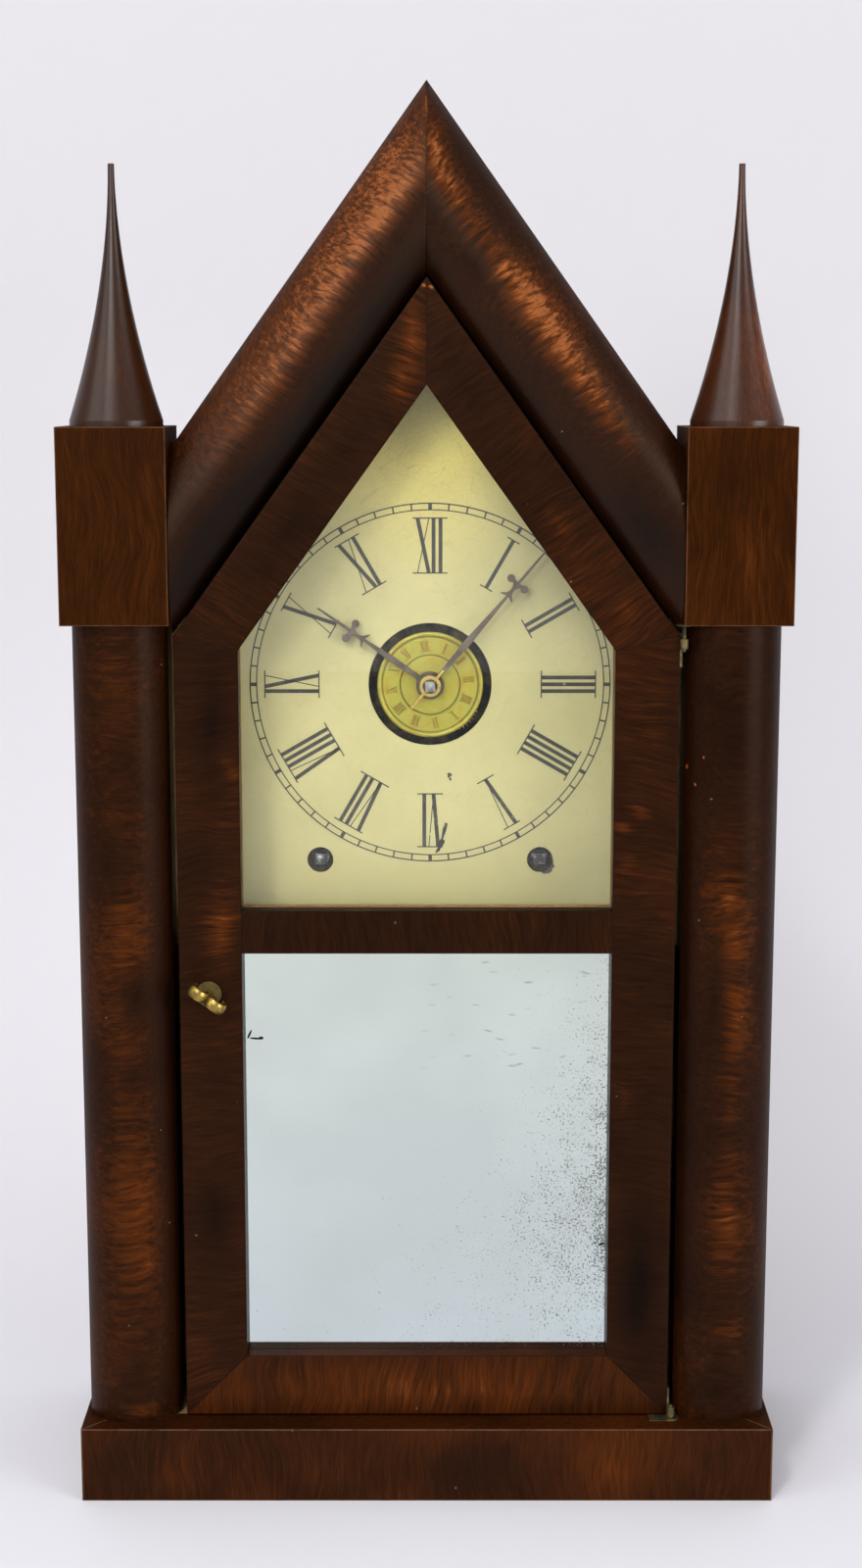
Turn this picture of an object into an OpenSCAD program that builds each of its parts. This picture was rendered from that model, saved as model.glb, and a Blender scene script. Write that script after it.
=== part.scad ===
// Steeple clock: a sharp-gabled shelf clock with a veneered case, a glazed door and a
// spring-driven time and strike movement. Millimetres, +Z up, front towards -Y.
// Depths are measured backwards from the front face of the base.

/* [Case] */
// Height from the table to the peak of the gable
case_h = 508; // [480:1:540]
// Width of the base
base_w = 254.2; // [250:0.2:270]
// Depth of the base from front to back
base_d = 105; // [103:0.5:130]
// Height of the base
base_h = 27.8; // [22:0.2:34]
// Thickness of the base front and returns
base_t = 14; // [10:0.5:18]
// Thickness of the floor board
floor_t = 12; // [8:0.5:16]
// How far the base stands out past the columns at each side
base_over = 1.8; // [0.5:0.1:4]
// Thickness of the side boards
side_t = 12; // [8:0.5:14]
// Thickness of the roof boards
roof_t = 10; // [7:0.5:12]
// Thickness of the back board
back_t = 8; // [5:0.5:9]
// Thickness of the backing behind columns and gable mouldings
backing_t = 12; // [10:0.5:13]

/* [Gable and columns] */
// Slope of the gable, counted from the upright
gable_angle = 35.8; // [34:0.1:38]
// Width of the gable mouldings
moulding_w = 37.5; // [33:0.5:40]
// Width of the columns
column_w = 33.7; // [30:0.1:34]
// Depth from the base front to the front of columns and mouldings
column_front = 5.4; // [3:0.1:7]
// How far columns and mouldings swell out from their backing
swell = 10.9; // [7:0.1:12]

/* [Blocks and spires] */
// Width of the capital blocks
block_w = 38; // [34:0.5:40]
// Depth of the capital blocks
block_d = 38.7; // [32:0.1:39]
// Depth from the base front to the front of the blocks
block_front = 4.7; // [3:0.1:6]
// How far the blocks' underside lies above the lower edge of the gable mouldings
block_rise = 3.8; // [1:0.1:8]
// Height of the blocks
block_h = 68.6; // [60:0.1:76]
// Gap between the door and the blocks
block_gap = 0.9; // [0.5:0.1:1.4]
// Radius of the spires at the foot
spire_r = 16.4; // [13:0.1:17]
// Radius of the spires at the tip
spire_tip_r = 1.1; // [0.6:0.1:2]
// Height of the spires
spire_h = 89.5; // [70:0.5:110]
// Height of the straight collar at the foot of the spires
spire_collar_h = 2; // [1:0.1:4]
// How fast the spires taper
spire_power = 1.85; // [1.4:0.05:2.2]
// Radius of the dowel under each spire
dowel_r = 4; // [3:0.25:5]
// Length of the dowel under each spire
dowel_l = 15; // [10:1:25]

/* [Door] */
// Gap between the door and the columns
door_side_gap = 2.5; // [2:0.1:4]
// Depth from the base front to the door's face
door_front = 11.5; // [9:0.1:12]
// Thickness of the door frame
door_t = 16; // [14:0.5:16]
// Gap under the door
door_floor_gap = 0.9; // [0.7:0.1:2]
// Gap between door and gable mouldings
door_rake_gap = 0.9; // [0.6:0.1:2]
// Width of the upright stiles
stile_w = 22.6; // [18:0.1:25]
// Width of the sloping rakes
rake_w = 21.4; // [18:0.1:25]
// Height of the bottom rail
bottom_rail_h = 22.8; // [18:0.1:28]
// Height of the underside of the mid rail
mid_rail_z = 204.3; // [190:0.1:212]
// Height of the mid rail
mid_rail_h = 15.6; // [12:0.1:20]
// Width of the rebate that holds the glass
rebate_w = 4; // [3:0.1:5]
// Thickness of wood in front of the glass
lip_t = 6.5; // [4:0.1:8]
// Gap round the edge of each pane
pane_gap = 0.3; // [0.2:0.05:0.5]
// Thickness of the clear glass
glass_t = 2; // [1.5:0.1:3]
// Thickness of the looking glass
mirror_t = 2.5; // [2:0.1:3]
// Thickness of the panel behind the looking glass
panel_t = 4; // [3:0.1:5]
// Depth of the glazing beads
bead_t = 3.5; // [2:0.1:5]

/* [Knob and hinges] */
// Distance of the knob from the door's left edge
knob_in = 10.5; // [8:0.1:13]
// Height of the knob
knob_z = 189.5; // [150:0.5:200]
// Tilt of the knob's scrolls at rest
knob_tilt = 35; // [0:1:60]
// How far the knob stands out from the door
knob_out = 11; // [9:0.1:11]
// Radius of the knob's shaft
knob_shaft_r = 1.6; // [1.2:0.1:2]
// Outer radius of each scroll
scroll_r = 4.1; // [3.4:0.1:4.4]
// Thickness of the scrolls' band
scroll_t = 1.1; // [0.8:0.1:1.6]
// Width of the scrolls' band
scroll_w = 3.8; // [3:0.1:5]
// Radius of the escutcheon
escutcheon_r = 4.6; // [4:0.1:6]
// Thickness of the escutcheon
escutcheon_t = 0.8; // [0.5:0.1:1.2]
// Length of the latch tongue from the knob's axis
tongue_l = 18; // [16:0.5:21]
// Width of the latch tongue
tongue_w = 6; // [4:0.5:8]
// Thickness of the latch tongue
tongue_t = 1.6; // [1:0.1:2.5]
// Outer radius of the hinge knuckles
knuckle_r = 1.5; // [1.3:0.05:1.6]
// Radius of the hinge pins
hinge_pin_r = 0.7; // [0.5:0.05:0.8]
// Height of the hinge knuckles
knuckle_h = 3.4; // [2.5:0.1:5]
// Thickness of the hinge leaves on the door's edge
leaf_t = 0.8; // [0.6:0.05:0.9]
// Height of the hinge leaves
hinge_h = 10; // [6:0.5:14]
// How deep the hinge leaves reach from the pin
leaf_d = 12; // [8:0.5:14]
// Thickness of the hinge plates that hold the pins
pin_plate_t = 0.4; // [0.2:0.05:0.5]
// How far the hinge plates reach from the pin towards the clock's middle
pin_plate_l = 8; // [4:0.5:12]

/* [Dial and hands] */
// How far the dial's centre and the movement lie right of the case's middle
dial_x = 1.2; // [0:0.1:2]
// How far the dial's centre lies below the peak of the gable
dial_below = 210; // [204:0.5:216]
// Distance from the dial's face to the front plate
dial_stand = 8; // [7.5:0.1:9]
// Thickness of the dial plate
dial_t = 1; // [0.8:0.1:1.5]
// How far the dial plate reaches sideways past the door's opening
dial_margin = 21.5; // [14:0.5:24]
// How far the dial plate reaches down past the mid rail's lower edge
dial_low_margin = 4.3; // [0:0.1:8]
// Distance from the gable line to the dial plate's slopes
dial_drop = 46; // [40:0.5:50]
// Radius of the hole in the dial's middle
dial_hole_r = 22.5; // [21:0.1:24]
// Radius of the winding holes
wind_hole_r = 4.8; // [4.4:0.1:6]
// Sideways distance of the winding arbors from the middle
wind_x = 40.6; // [40:0.1:42]
// How far the winding arbors lie below the dial's centre
wind_drop = 65.3; // [64:0.1:67]
// Length of the minute hand
minute_l = 64; // [58:0.5:66]
// Distance of the balls on the minute hand from the centre
minute_ornament = 48.8; // [42:0.1:50]
// Rest angle of the minute hand, clockwise from twelve
minute_angle = 40.5; // [0:0.5:359]
// Length of the hour hand
hour_l = 49.5; // [42:0.5:52]
// Distance of the balls on the hour hand from the centre
hour_ornament = 35; // [30:0.1:38]
// Rest angle of the hour hand, clockwise from twelve
hour_angle = 304.6; // [0:0.1:359]
// Thickness of the hands
hand_t = 0.8; // [0.5:0.1:1.2]
// Radius of the alarm setting disc
alarm_r = 19.3; // [17:0.1:20.5]
// Thickness of the alarm setting disc
alarm_t = 1; // [0.8:0.1:1.6]
// Gap between the dial and the alarm setting disc
alarm_gap = 0.3; // [0.1:0.05:0.6]

/* [Movement] */
// Distance from the back plate to the pendulum
pendulum_plate_gap = 3.5; // [3.1:0.1:4.5]
// Clear space between the plates
plate_space = 24.5; // [24.5:0.1:25]
// Thickness of the plates
plate_t = 1.5; // [1.2:0.1:1.6]
// Half width of the plates
plate_half = 58; // [57:0.5:62]
// How far the plates reach below the dial's centre
plate_down = 112; // [111:0.5:116]
// How far the plates reach above the dial's centre
plate_up = 74; // [72:0.5:82]
// Radius of the pillars between the plates
pillar_r = 3.5; // [2.5:0.1:4]
// Radius of the train arbors
arbor_r = 1.2; // [1:0.05:1.5]
// Radius of the pivots in the plates
pivot_r = 0.8; // [0.6:0.05:0.9]
// Running clearance all round a pivot or arbor
running_gap = 0.05; // [0.03:0.01:0.08]
// Thickness of the great wheels
great_t = 1.6; // [1.2:0.1:1.8]
// Thickness of the other train wheels
wheel_t = 1; // [0.8:0.1:1.2]
// Width of the mainsprings
spring_w = 13; // [10:0.5:13]
// Turns of each mainspring
spring_turns = 9; // [6:1:11]
// Pitch of the mainsprings' turns
spring_pitch = 2.4; // [2:0.1:2.6]
// Thickness of the mainsprings' steel
spring_t = 0.6; // [0.4:0.05:0.8]
// Radius of the winding arbors
wind_arbor_r = 3; // [2.6:0.1:3.4]
// Side of the winding squares
wind_square = 4; // [3.6:0.1:4.4]
// Radius of the ratchet wheels
ratchet_r = 10; // [9:0.5:12]
// Teeth of the ratchet wheels
ratchet_n = 18; // [14:1:24]

/* [Pendulum and gong] */
// Length from the suspension to the middle of the bob
pendulum_l = 248.5; // [235:0.5:255]
// How far the suspension lies above the dial's centre
suspension_rise = 60.5; // [58:0.5:62]
// Distance from the pendulum to the back board
pendulum_back_gap = 16; // [15.8:0.1:17]
// Radius of the pendulum rod
rod_r = 0.9; // [0.7:0.05:1.1]
// Radius of the bob
bob_r = 17; // [14:0.5:20]
// Thickness of the bob
bob_t = 8; // [6:0.5:8]
// How far the gong's centre lies below the dial's centre
gong_drop = 193; // [183:0.5:203]
// Distance from the gong's wire to the back board
gong_back_gap = 7.5; // [7:0.1:8]
// Radius of the gong's wire
gong_wire_r = 1.5; // [1:0.1:1.8]
// Turns of the gong
gong_turns = 5; // [3:1:6]
// Pitch of the gong's turns
gong_pitch = 6; // [5:0.25:6.5]
// Radius of the gong's iron stand
gong_stand_r = 9; // [7:0.5:10]

/* [Hidden] */
$fn = 64;

// Colours of wood, metal and glass
veneer = [0.27, 0.12, 0.06];
pine = [0.62, 0.46, 0.29];
brass = [0.71, 0.58, 0.27];
steel = [0.45, 0.45, 0.47];
dark_steel = [0.19, 0.16, 0.14];
iron = [0.16, 0.16, 0.17];
dial_cream = [0.84, 0.81, 0.63];

// Places in the case, as depths behind the base front
base_half = base_w / 2;
case_half = base_half - base_over;
backing_front = column_front + swell;
backing_back = backing_front + backing_t;
back_board_front = base_d - back_t;
column_in = case_half - column_w;
side_in = case_half - side_t;
door_half = column_in - door_side_gap;
block_in = door_half + block_gap;
block_mid_x = block_in + block_w / 2;
block_mid_y = block_front + block_d / 2;
block_z = gable_z(block_in, moulding_w) + block_rise;
block_top = block_z + block_h;
cut_over = 1;

// Places in the door
door_back = door_front + door_t;
door_low = base_h + door_floor_gap;
door_drop = moulding_w + door_rake_gap;
open_half = door_half - stile_w;
open_drop = door_drop + rake_w;
open_low = door_low + bottom_rail_h;
mid_rail_top = mid_rail_z + mid_rail_h;
glass_front = door_front + lip_t;
bead_w = rebate_w - pane_gap;
knob_x = door_half - knob_in;
hinge_x = (door_half + column_in) / 2;
hinge_y = door_front - knuckle_r;
knuckle_gap = 0.15;
foot_knuckle_z = base_h + max(door_floor_gap, pin_plate_t + knuckle_gap);
head_knuckle_z = gable_z(door_half, door_drop) - knuckle_h - 1;

// Places in the movement, counted forwards from the back board that carries it
gong_y = back_board_front - gong_back_gap;
pendulum_y = back_board_front - pendulum_back_gap;
front_plate_y = pendulum_y - pendulum_plate_gap - 2 * plate_t - plate_space;
dial_front = front_plate_y - dial_stand;
dial_z = case_h - dial_below;
dial_half = open_half + dial_margin;
dial_low_z = mid_rail_z - dial_low_margin;
plate_low_z = dial_z - plate_down;
plate_top_z = dial_z + plate_up;
gong_z = dial_z - gong_drop;
front_plate_back = front_plate_y + plate_t;
back_plate_front = front_plate_back + plate_space;
back_plate_back = back_plate_front + plate_t;
dial_back = dial_front + dial_t;
wind_z = dial_z - wind_drop;
verge_z = dial_z + suspension_rise;
great_front = front_plate_back + 2.5;
spring_front = great_front + great_t + 2.2;
back_wheel_front = back_plate_front - 2.7;
centre_wheel_front = front_plate_back + 6.5;
third_wheel_front = front_plate_back + 14.5;
escape_front = front_plate_back + 18.5;
strike_third_front = front_plate_back + 12;

// Tooth counts of the trains
great_n = 80;
second_pins = 10;
second_n = 72;
centre_pins = 9;
centre_n = 80;
third_pins = 8;
third_n = 72;
escape_pins = 8;
escape_n = 40;
strike_second_n = 60;
strike_third_pins = 8;
strike_third_n = 56;
fly_pins = 7;
cannon_n = 12;
minute_n = 36;
minute_pinion_n = 10;
hour_n = 40;

// Modules of the trains, drawn from the distances that they span
wind_span = norm([wind_x, wind_drop]);
train_slack = 1.03;
train_m = 2 * train_slack * wind_span / (great_n + second_pins + second_n + centre_pins);
great_cd = train_m * (great_n + second_pins) / 2;
second_cd = train_m * (second_n + centre_pins) / 2;
escape_r = 14;
pallet_span = 6.5;
pallet_half = pallet_span * 180 / escape_n;
escape_lead = 0.1;
escape_z = verge_z - escape_r / cos(pallet_half);
upper_span = escape_z - dial_z;
upper_slack = 1.09;
upper_m = 2 * upper_slack * upper_span / (centre_n + third_pins + third_n + escape_pins);
centre_cd = upper_m * (centre_n + third_pins) / 2;
third_cd = upper_m * (third_n + escape_pins) / 2;
strike_m = 0.8;
strike_second_cd = strike_m * (strike_second_n + strike_third_pins) / 2;
fly_m = 0.55;
fly_cd = fly_m * (strike_third_n + fly_pins) / 2;
cannon_m = 0.5;
hour_m = cannon_m * (cannon_n + minute_n) / (minute_pinion_n + hour_n);
motion_cd = cannon_m * (cannon_n + minute_n) / 2;
motion_angle = 315;

// Where a circle round p meets a circle round q, to the right of the way from p to q
function meet(p, rp, q, rq) =
    let (
        d = norm(q - p),
        along = (d * d + rp * rp - rq * rq) / (2 * d),
        across = sqrt(max(0, rp * rp - along * along)),
        way = (q - p) / d
    )
    p + along * way + across * [way[1], -way[0]];

function polar(p, r, a) = p + r * [cos(a), sin(a)];
function heading(p, q) = atan2(q[1] - p[1], q[0] - p[0]);

// Points on a circle from one angle to another
function arc(at, r, from, to) =
    let (n = ceil(abs(to - from) / 12))
    [for (i = [0 : n]) polar(at, r, from + (to - from) * i / n)];

// Arbor places, seen from the front, as [x, z]
going_great_at = [wind_x, wind_z];
strike_great_at = [-wind_x, wind_z];
centre_at = [0, dial_z];
second_at = meet(going_great_at, great_cd, centre_at, second_cd);
escape_at = [0, escape_z];
third_at = meet(centre_at, centre_cd, escape_at, third_cd);
verge_at = [0, verge_z];
strike_second_at = polar(strike_great_at, great_cd, 100);
strike_third_at = polar(strike_second_at, strike_second_cd, 50);
fly_at = polar(strike_third_at, fly_cd, 100);
minute_wheel_at = polar(centre_at, motion_cd, motion_angle);
hammer_at = [-30, dial_z - 93];

// The angle at which a pinion stands in mesh with a wheel that has a tooth at wheel_a
function mesh(wheel_at, wheel_n, wheel_a, pinion_at, pinion_n) =
    let (a = heading(wheel_at, pinion_at))
    a + 180 + 360 / pinion_n * (0.5 - (wheel_a - a) * wheel_n / 360);

// How wheels and pinions stand in mesh, worked out along each train from its slowest wheel
going_second_turn = mesh(going_great_at, great_n, 0, second_at, second_pins);
centre_turn = mesh(second_at, second_n, 0, centre_at, centre_pins);
third_turn = mesh(centre_at, centre_n, 0, third_at, third_pins);
escape_turn = mesh(third_at, third_n, 0, escape_at, escape_pins);
strike_second_turn = mesh(strike_great_at, great_n, 0, strike_second_at, second_pins);
strike_third_turn = mesh(strike_second_at, strike_second_n, 0, strike_third_at, strike_third_pins);
fly_turn = mesh(strike_third_at, strike_third_n, 0, fly_at, fly_pins);
minute_wheel_turn = mesh(centre_at, cannon_n, 90, minute_wheel_at, minute_n);
hour_turn = mesh(minute_wheel_at, minute_pinion_n, 0, centre_at, hour_n);

// Depths and sizes of the motion work, the suspension and the gong
cannon_y = front_plate_y - 2.4;
hour_wheel_y = front_plate_y - 4.8;
cannon_pipe_r = 2.2;
hour_bore_r = cannon_pipe_r + 0.08;
hour_pipe_r = 3.4;
hour_hand_y = dial_front - 3.4;
minute_hand_y = dial_front - 5.6;
square_front = dial_back + 0.5;
spring_above = 3;
spring_strip_w = 3;
gong_inner = gong_stand_r + 3;
gong_left = gong_inner + (gong_turns - 1) * gong_pitch + gong_wire_r;

// Small amounts: pivots stand out of their plates, caps reach past the wheel that drives their
// pins, pinions and wheels bite into their arbor, and arbors keep clear of the plates
pivot_out = 0.4;
cap_reach = 1.4;
pinion_cap = 0.8;
ratchet_t = 1.4;
bite = 0.1;
end_shake = 0.3;

// Height of the gable line at x, lowered square to its slope by drop
function gable_z(x, drop) = case_h - drop / sin(gable_angle) - abs(x) / tan(gable_angle);

// Outline of the case's gabled shape, half wide and from low up to the lowered gable line
function gabled(half, low, drop) = [
    [-half, low], [half, low], [half, gable_z(half, drop)], [0, gable_z(0, drop)],
    [-half, gable_z(half, drop)]
];
function boxed(half, low, high) = [[-half, low], [half, low], [half, high], [-half, high]];

// Shared helpers
module in_case(shade) {
    color(shade) translate([0, -base_d / 2, 0]) children();
}
module in_movement(shade) {
    in_case(shade) translate([dial_x, 0, 0]) children();
}
module slab(y0, y1) {
    translate([0, y1, 0]) rotate([90, 0, 0]) linear_extrude(y1 - y0) children();
}
module rod(at, y0, y1, r) {
    translate([at[0], y1, at[1]]) rotate([90, 0, 0]) cylinder(h = y1 - y0, r = r);
}
module on_side(side) {
    if (side > 0) {
        children();
    } else {
        mirror([1, 0, 0]) children();
    }
}
module block_space() {
    translate([block_in, block_front, block_z]) cube([block_w, block_d, block_h]);
}
module edge_strips(outer, inner, saw_cut) {
    n = len(outer);
    for (i = [0 : n - 1]) {
        j = (i + 1) % n;
        nudge = saw_cut / 2 * (outer[j] - outer[i]) / norm(outer[j] - outer[i]);
        polygon([outer[i] + nudge, outer[j] - nudge, inner[j] - nudge, inner[i] + nudge]);
    }
}

// Base
module base_front_board() {
    inner = base_half - base_t;
    in_case(veneer) linear_extrude(base_h)
        polygon([[-base_half, 0], [base_half, 0], [inner, base_t], [-inner, base_t]]);
}
module base_return(side) {
    inner = base_half - base_t;
    in_case(veneer) on_side(side) linear_extrude(base_h)
        polygon([[base_half, 0], [base_half, base_d], [inner, base_d], [inner, base_t]]);
}
module floor_board() {
    inner = base_half - base_t;
    in_case(pine) translate([-inner, base_t, base_h - floor_t])
        cube([2 * inner, base_d - base_t, floor_t]);
}

// Case shell
module side_board(side) {
    in_case(veneer) on_side(side) difference() {
        slab(backing_back, base_d) polygon([
            [side_in, base_h], [case_half, base_h],
            [case_half, gable_z(case_half, roof_t)], [side_in, gable_z(side_in, roof_t)]
        ]);
        block_space();
    }
}
module roof_board(side) {
    in_case(veneer) on_side(side) difference() {
        slab(backing_back, base_d) polygon([
            [0, gable_z(0, 0)], [case_half, gable_z(case_half, 0)],
            [case_half, gable_z(case_half, roof_t)], [0, gable_z(0, roof_t)]
        ]);
        block_space();
    }
}
module back_board() {
    in_case(pine) slab(back_board_front, base_d) polygon(gabled(side_in, base_h, roof_t));
}

// Half-round columns and gable mouldings on their flat backing
module column(side) {
    round_r = (column_w * column_w / 4 + swell * swell) / (2 * swell);
    in_case(veneer) on_side(side) {
        intersection() {
            translate([column_in + column_w / 2, column_front + round_r, base_h])
                cylinder(h = block_z - base_h, r = round_r, $fn = 96);
            translate([column_in, column_front, base_h])
                cube([column_w, swell, block_z - base_h]);
        }
        translate([column_in, backing_front, base_h])
            cube([column_w, backing_t, block_z - base_h]);
    }
}
module gable_moulding(side) {
    round_r = (moulding_w * moulding_w / 4 + swell * swell) / (2 * swell);
    reach = case_h;
    outline = [
        [0, gable_z(0, 0)], [block_in, gable_z(block_in, 0)],
        [block_in, gable_z(block_in, moulding_w)], [0, gable_z(0, moulding_w)]
    ];
    in_case(veneer) on_side(side) {
        intersection() {
            translate([0, column_front + round_r, gable_z(0, moulding_w / 2)])
                rotate([0, 180 - gable_angle, 0])
                translate([0, 0, -reach / 4])
                cylinder(h = reach, r = round_r, $fn = 96);
            slab(column_front, backing_front) polygon(outline);
        }
        slab(backing_front, backing_back) polygon(outline);
    }
}

// Capital blocks and turned spires
module capital_block(side) {
    in_case(veneer) on_side(side) difference() {
        block_space();
        translate([block_mid_x, block_mid_y, block_top - dowel_l - cut_over])
            cylinder(h = dowel_l + 2 * cut_over, r = dowel_r + running_gap);
    }
}
module spire(side) {
    steps = 16;
    taper_h = spire_h - spire_collar_h;
    flank = [for (i = [0 : steps])
        let (t = i / steps)
        [spire_tip_r + (spire_r - spire_tip_r) * pow(1 - t, spire_power),
            spire_collar_h + taper_h * t]
    ];
    in_case(veneer) on_side(side) translate([block_mid_x, block_mid_y, block_top])
        rotate_extrude()
        polygon(concat([[0, -dowel_l], [dowel_r, -dowel_l], [dowel_r, 0], [spire_r, 0]],
            flank, [[0, spire_h]]));
}

// Rails that carry the dial plate
module dial_rails() {
    rail_in = dial_half - 10;
    rail_t = front_plate_y - dial_back;
    in_case(pine) for (side = [-1, 1]) on_side(side)
        translate([rail_in, dial_back, dial_low_z])
        cube([side_in - rail_in, rail_t, block_z - 1 - dial_low_z]);
}

// Door frame, with a rebate behind for the glass
module glass_rebates() {
    slab(glass_front, door_back + cut_over)
        polygon(gabled(open_half + rebate_w, mid_rail_top - rebate_w, open_drop - rebate_w));
    slab(glass_front, door_back + cut_over)
        polygon(boxed(open_half + rebate_w, open_low - rebate_w, mid_rail_z + rebate_w));
}
module door_stile(side) {
    in_case(veneer) difference() {
        on_side(side) slab(door_front, door_back) polygon([
            [open_half, open_low], [door_half, door_low],
            [door_half, gable_z(door_half, door_drop)], [open_half, gable_z(open_half, open_drop)]
        ]);
        glass_rebates();
        rod([-knob_x, knob_z], door_front - cut_over, door_back + cut_over,
            knob_shaft_r + running_gap);
    }
}
module door_rake(side) {
    in_case(veneer) difference() {
        on_side(side) slab(door_front, door_back) polygon([
            [0, gable_z(0, door_drop)], [door_half, gable_z(door_half, door_drop)],
            [open_half, gable_z(open_half, open_drop)], [0, gable_z(0, open_drop)]
        ]);
        glass_rebates();
    }
}
module door_mid_rail() {
    in_case(veneer) difference() {
        slab(door_front, door_back) polygon(boxed(open_half, mid_rail_z, mid_rail_top));
        glass_rebates();
    }
}
module door_bottom_rail() {
    in_case(veneer) difference() {
        slab(door_front, door_back) polygon([
            [-door_half, door_low], [door_half, door_low],
            [open_half, open_low], [-open_half, open_low]
        ]);
        glass_rebates();
    }
}

// Glass and what holds it
module upper_glass() {
    in_case([0.85, 0.9, 0.88, 0.3]) slab(glass_front, glass_front + glass_t)
        polygon(gabled(open_half + bead_w, mid_rail_top - bead_w, open_drop - bead_w));
}
module mirror_glass() {
    in_case([0.8, 0.84, 0.84]) slab(glass_front, glass_front + mirror_t)
        polygon(boxed(open_half + bead_w, open_low - bead_w, mid_rail_z + bead_w));
}
module mirror_panel() {
    in_case(pine) slab(glass_front + mirror_t, glass_front + mirror_t + panel_t)
        polygon(boxed(open_half + bead_w, open_low - bead_w, mid_rail_z + bead_w));
}
module glazing_beads() {
    in_case(pine) slab(glass_front + glass_t, glass_front + glass_t + bead_t)
        edge_strips(
            gabled(open_half + bead_w, mid_rail_top - bead_w, open_drop - bead_w),
            gabled(open_half, mid_rail_top, open_drop),
            0.2
        );
}

// Turn knob: two open scrolls with a crowned band, on a shaft, with the latch tongue at the back
function scroll_profile() =
    let (inner = scroll_r - scroll_t, edge = scroll_r - 0.4 * scroll_t)
    [
        [inner, 0], [edge, 0], [scroll_r, 0.3 * scroll_w], [scroll_r, 0.7 * scroll_w],
        [edge, scroll_w], [inner, scroll_w]
    ];
module knob_escutcheon() {
    in_case(brass) difference() {
        rod([-knob_x, knob_z], door_front - escutcheon_t, door_front, escutcheon_r);
        rod([-knob_x, knob_z], door_front - cut_over - escutcheon_t, door_front + cut_over,
            knob_shaft_r + running_gap);
    }
}
module door_turn_knob() {
    tongue_front = door_back + 1;
    scroll_y = door_front - knob_out + scroll_r;
    overlap = 0.4;
    mouth = 2.8;
    in_case(brass) translate([-knob_x, 0, knob_z]) {
        rod([0, 0], scroll_y - 0.5, tongue_front + tongue_t, knob_shaft_r);
        rotate([0, knob_tilt, 0]) for (side = [-1, 1]) on_side(side)
            translate([scroll_r - overlap, scroll_y, -scroll_w / 2]) difference() {
                rotate_extrude() polygon(scroll_profile());
                translate([-0.4 * mouth, 0.5, -cut_over])
                    cube([mouth, scroll_r, scroll_w + 2 * cut_over]);
            }
        slab(tongue_front, tongue_front + tongue_t) {
            circle(r = tongue_w / 2);
            translate([-tongue_w / 2, -tongue_l]) square([tongue_w, tongue_l]);
        }
    }
}

// Pin hinges at the foot and the head of the door: a plate on the case holds the pin, and a
// knuckle on a leaf at the door's edge turns on it
module pin_plate(inwards) {
    pin_plate_r = 3;
    linear_extrude(pin_plate_t) {
        circle(r = pin_plate_r);
        if (inwards) translate([-pin_plate_l, -pin_plate_r])
            square([pin_plate_l, 2 * pin_plate_r]);
    }
}
module case_hinge_leaves() {
    pin_l = knuckle_h + 2 * knuckle_gap + 1;
    in_case(brass) translate([hinge_x, hinge_y, 0]) {
        translate([0, 0, base_h]) {
            pin_plate(true);
            cylinder(h = pin_plate_t + pin_l, r = hinge_pin_r);
        }
        translate([0, 0, block_z - pin_plate_t]) pin_plate(false);
        translate([0, 0, head_knuckle_z - 1])
            cylinder(h = block_z - head_knuckle_z + 1, r = hinge_pin_r);
    }
}
module door_hinge_leaves() {
    in_case(brass) for (z = [foot_knuckle_z, head_knuckle_z]) difference() {
        union() {
            translate([hinge_x, hinge_y, z]) cylinder(h = knuckle_h, r = knuckle_r);
            translate([door_half, hinge_y, z]) cube([leaf_t, leaf_d, knuckle_h]);
            translate([door_half, door_front, z == foot_knuckle_z ? z : z + knuckle_h - hinge_h])
                cube([leaf_t, leaf_d - knuckle_r, hinge_h]);
        }
        translate([hinge_x, hinge_y, z - cut_over])
            cylinder(h = knuckle_h + 2 * cut_over, r = hinge_pin_r + running_gap);
    }
}

// Dial plate with its centre hole and winding holes
module dial_plate() {
    in_case(dial_cream) slab(dial_front, dial_back) difference() {
        polygon(gabled(dial_half, dial_low_z, dial_drop));
        translate([dial_x, 0]) {
            translate(centre_at) circle(r = dial_hole_r);
            for (at = [going_great_at, strike_great_at]) translate(at) circle(r = wind_hole_r);
        }
    }
}

// Toothed wheel: pointed clock teeth, a rim, arms and a hub
module wheel_teeth(n, m, turn) {
    pitch_r = n * m / 2;
    root_r = pitch_r - 1.35 * m;
    tip_r = pitch_r + 0.95 * m;
    step = 360 / n;
    polygon([for (i = [0 : n - 1]) each
        let (a = turn + i * step)
        [
            polar([0, 0], root_r, a - 0.21 * step), polar([0, 0], pitch_r, a - 0.2 * step),
            polar([0, 0], tip_r, a - 0.05 * step), polar([0, 0], tip_r, a + 0.05 * step),
            polar([0, 0], pitch_r, a + 0.2 * step), polar([0, 0], root_r, a + 0.21 * step)
        ]
    ]);
}
module wheel_crossings(outer, inner, arms, arm_w) {
    difference() {
        circle(r = outer);
        circle(r = inner);
        for (i = [0 : arms - 1]) rotate(i * 360 / arms)
            translate([0, -arm_w / 2]) square([outer + cut_over, arm_w]);
    }
}
module train_wheel(at, n, m, turn, y0, thick, hub_r, bore_r, arms) {
    rim_r = n * m / 2 - 1.35 * m - 0.07 * n * m;
    translate([at[0], 0, at[1]]) slab(y0, y0 + thick) difference() {
        wheel_teeth(n, m, turn);
        wheel_crossings(rim_r, hub_r, arms, 0.1 * n * m);
        circle(r = bore_r);
    }
}

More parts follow.
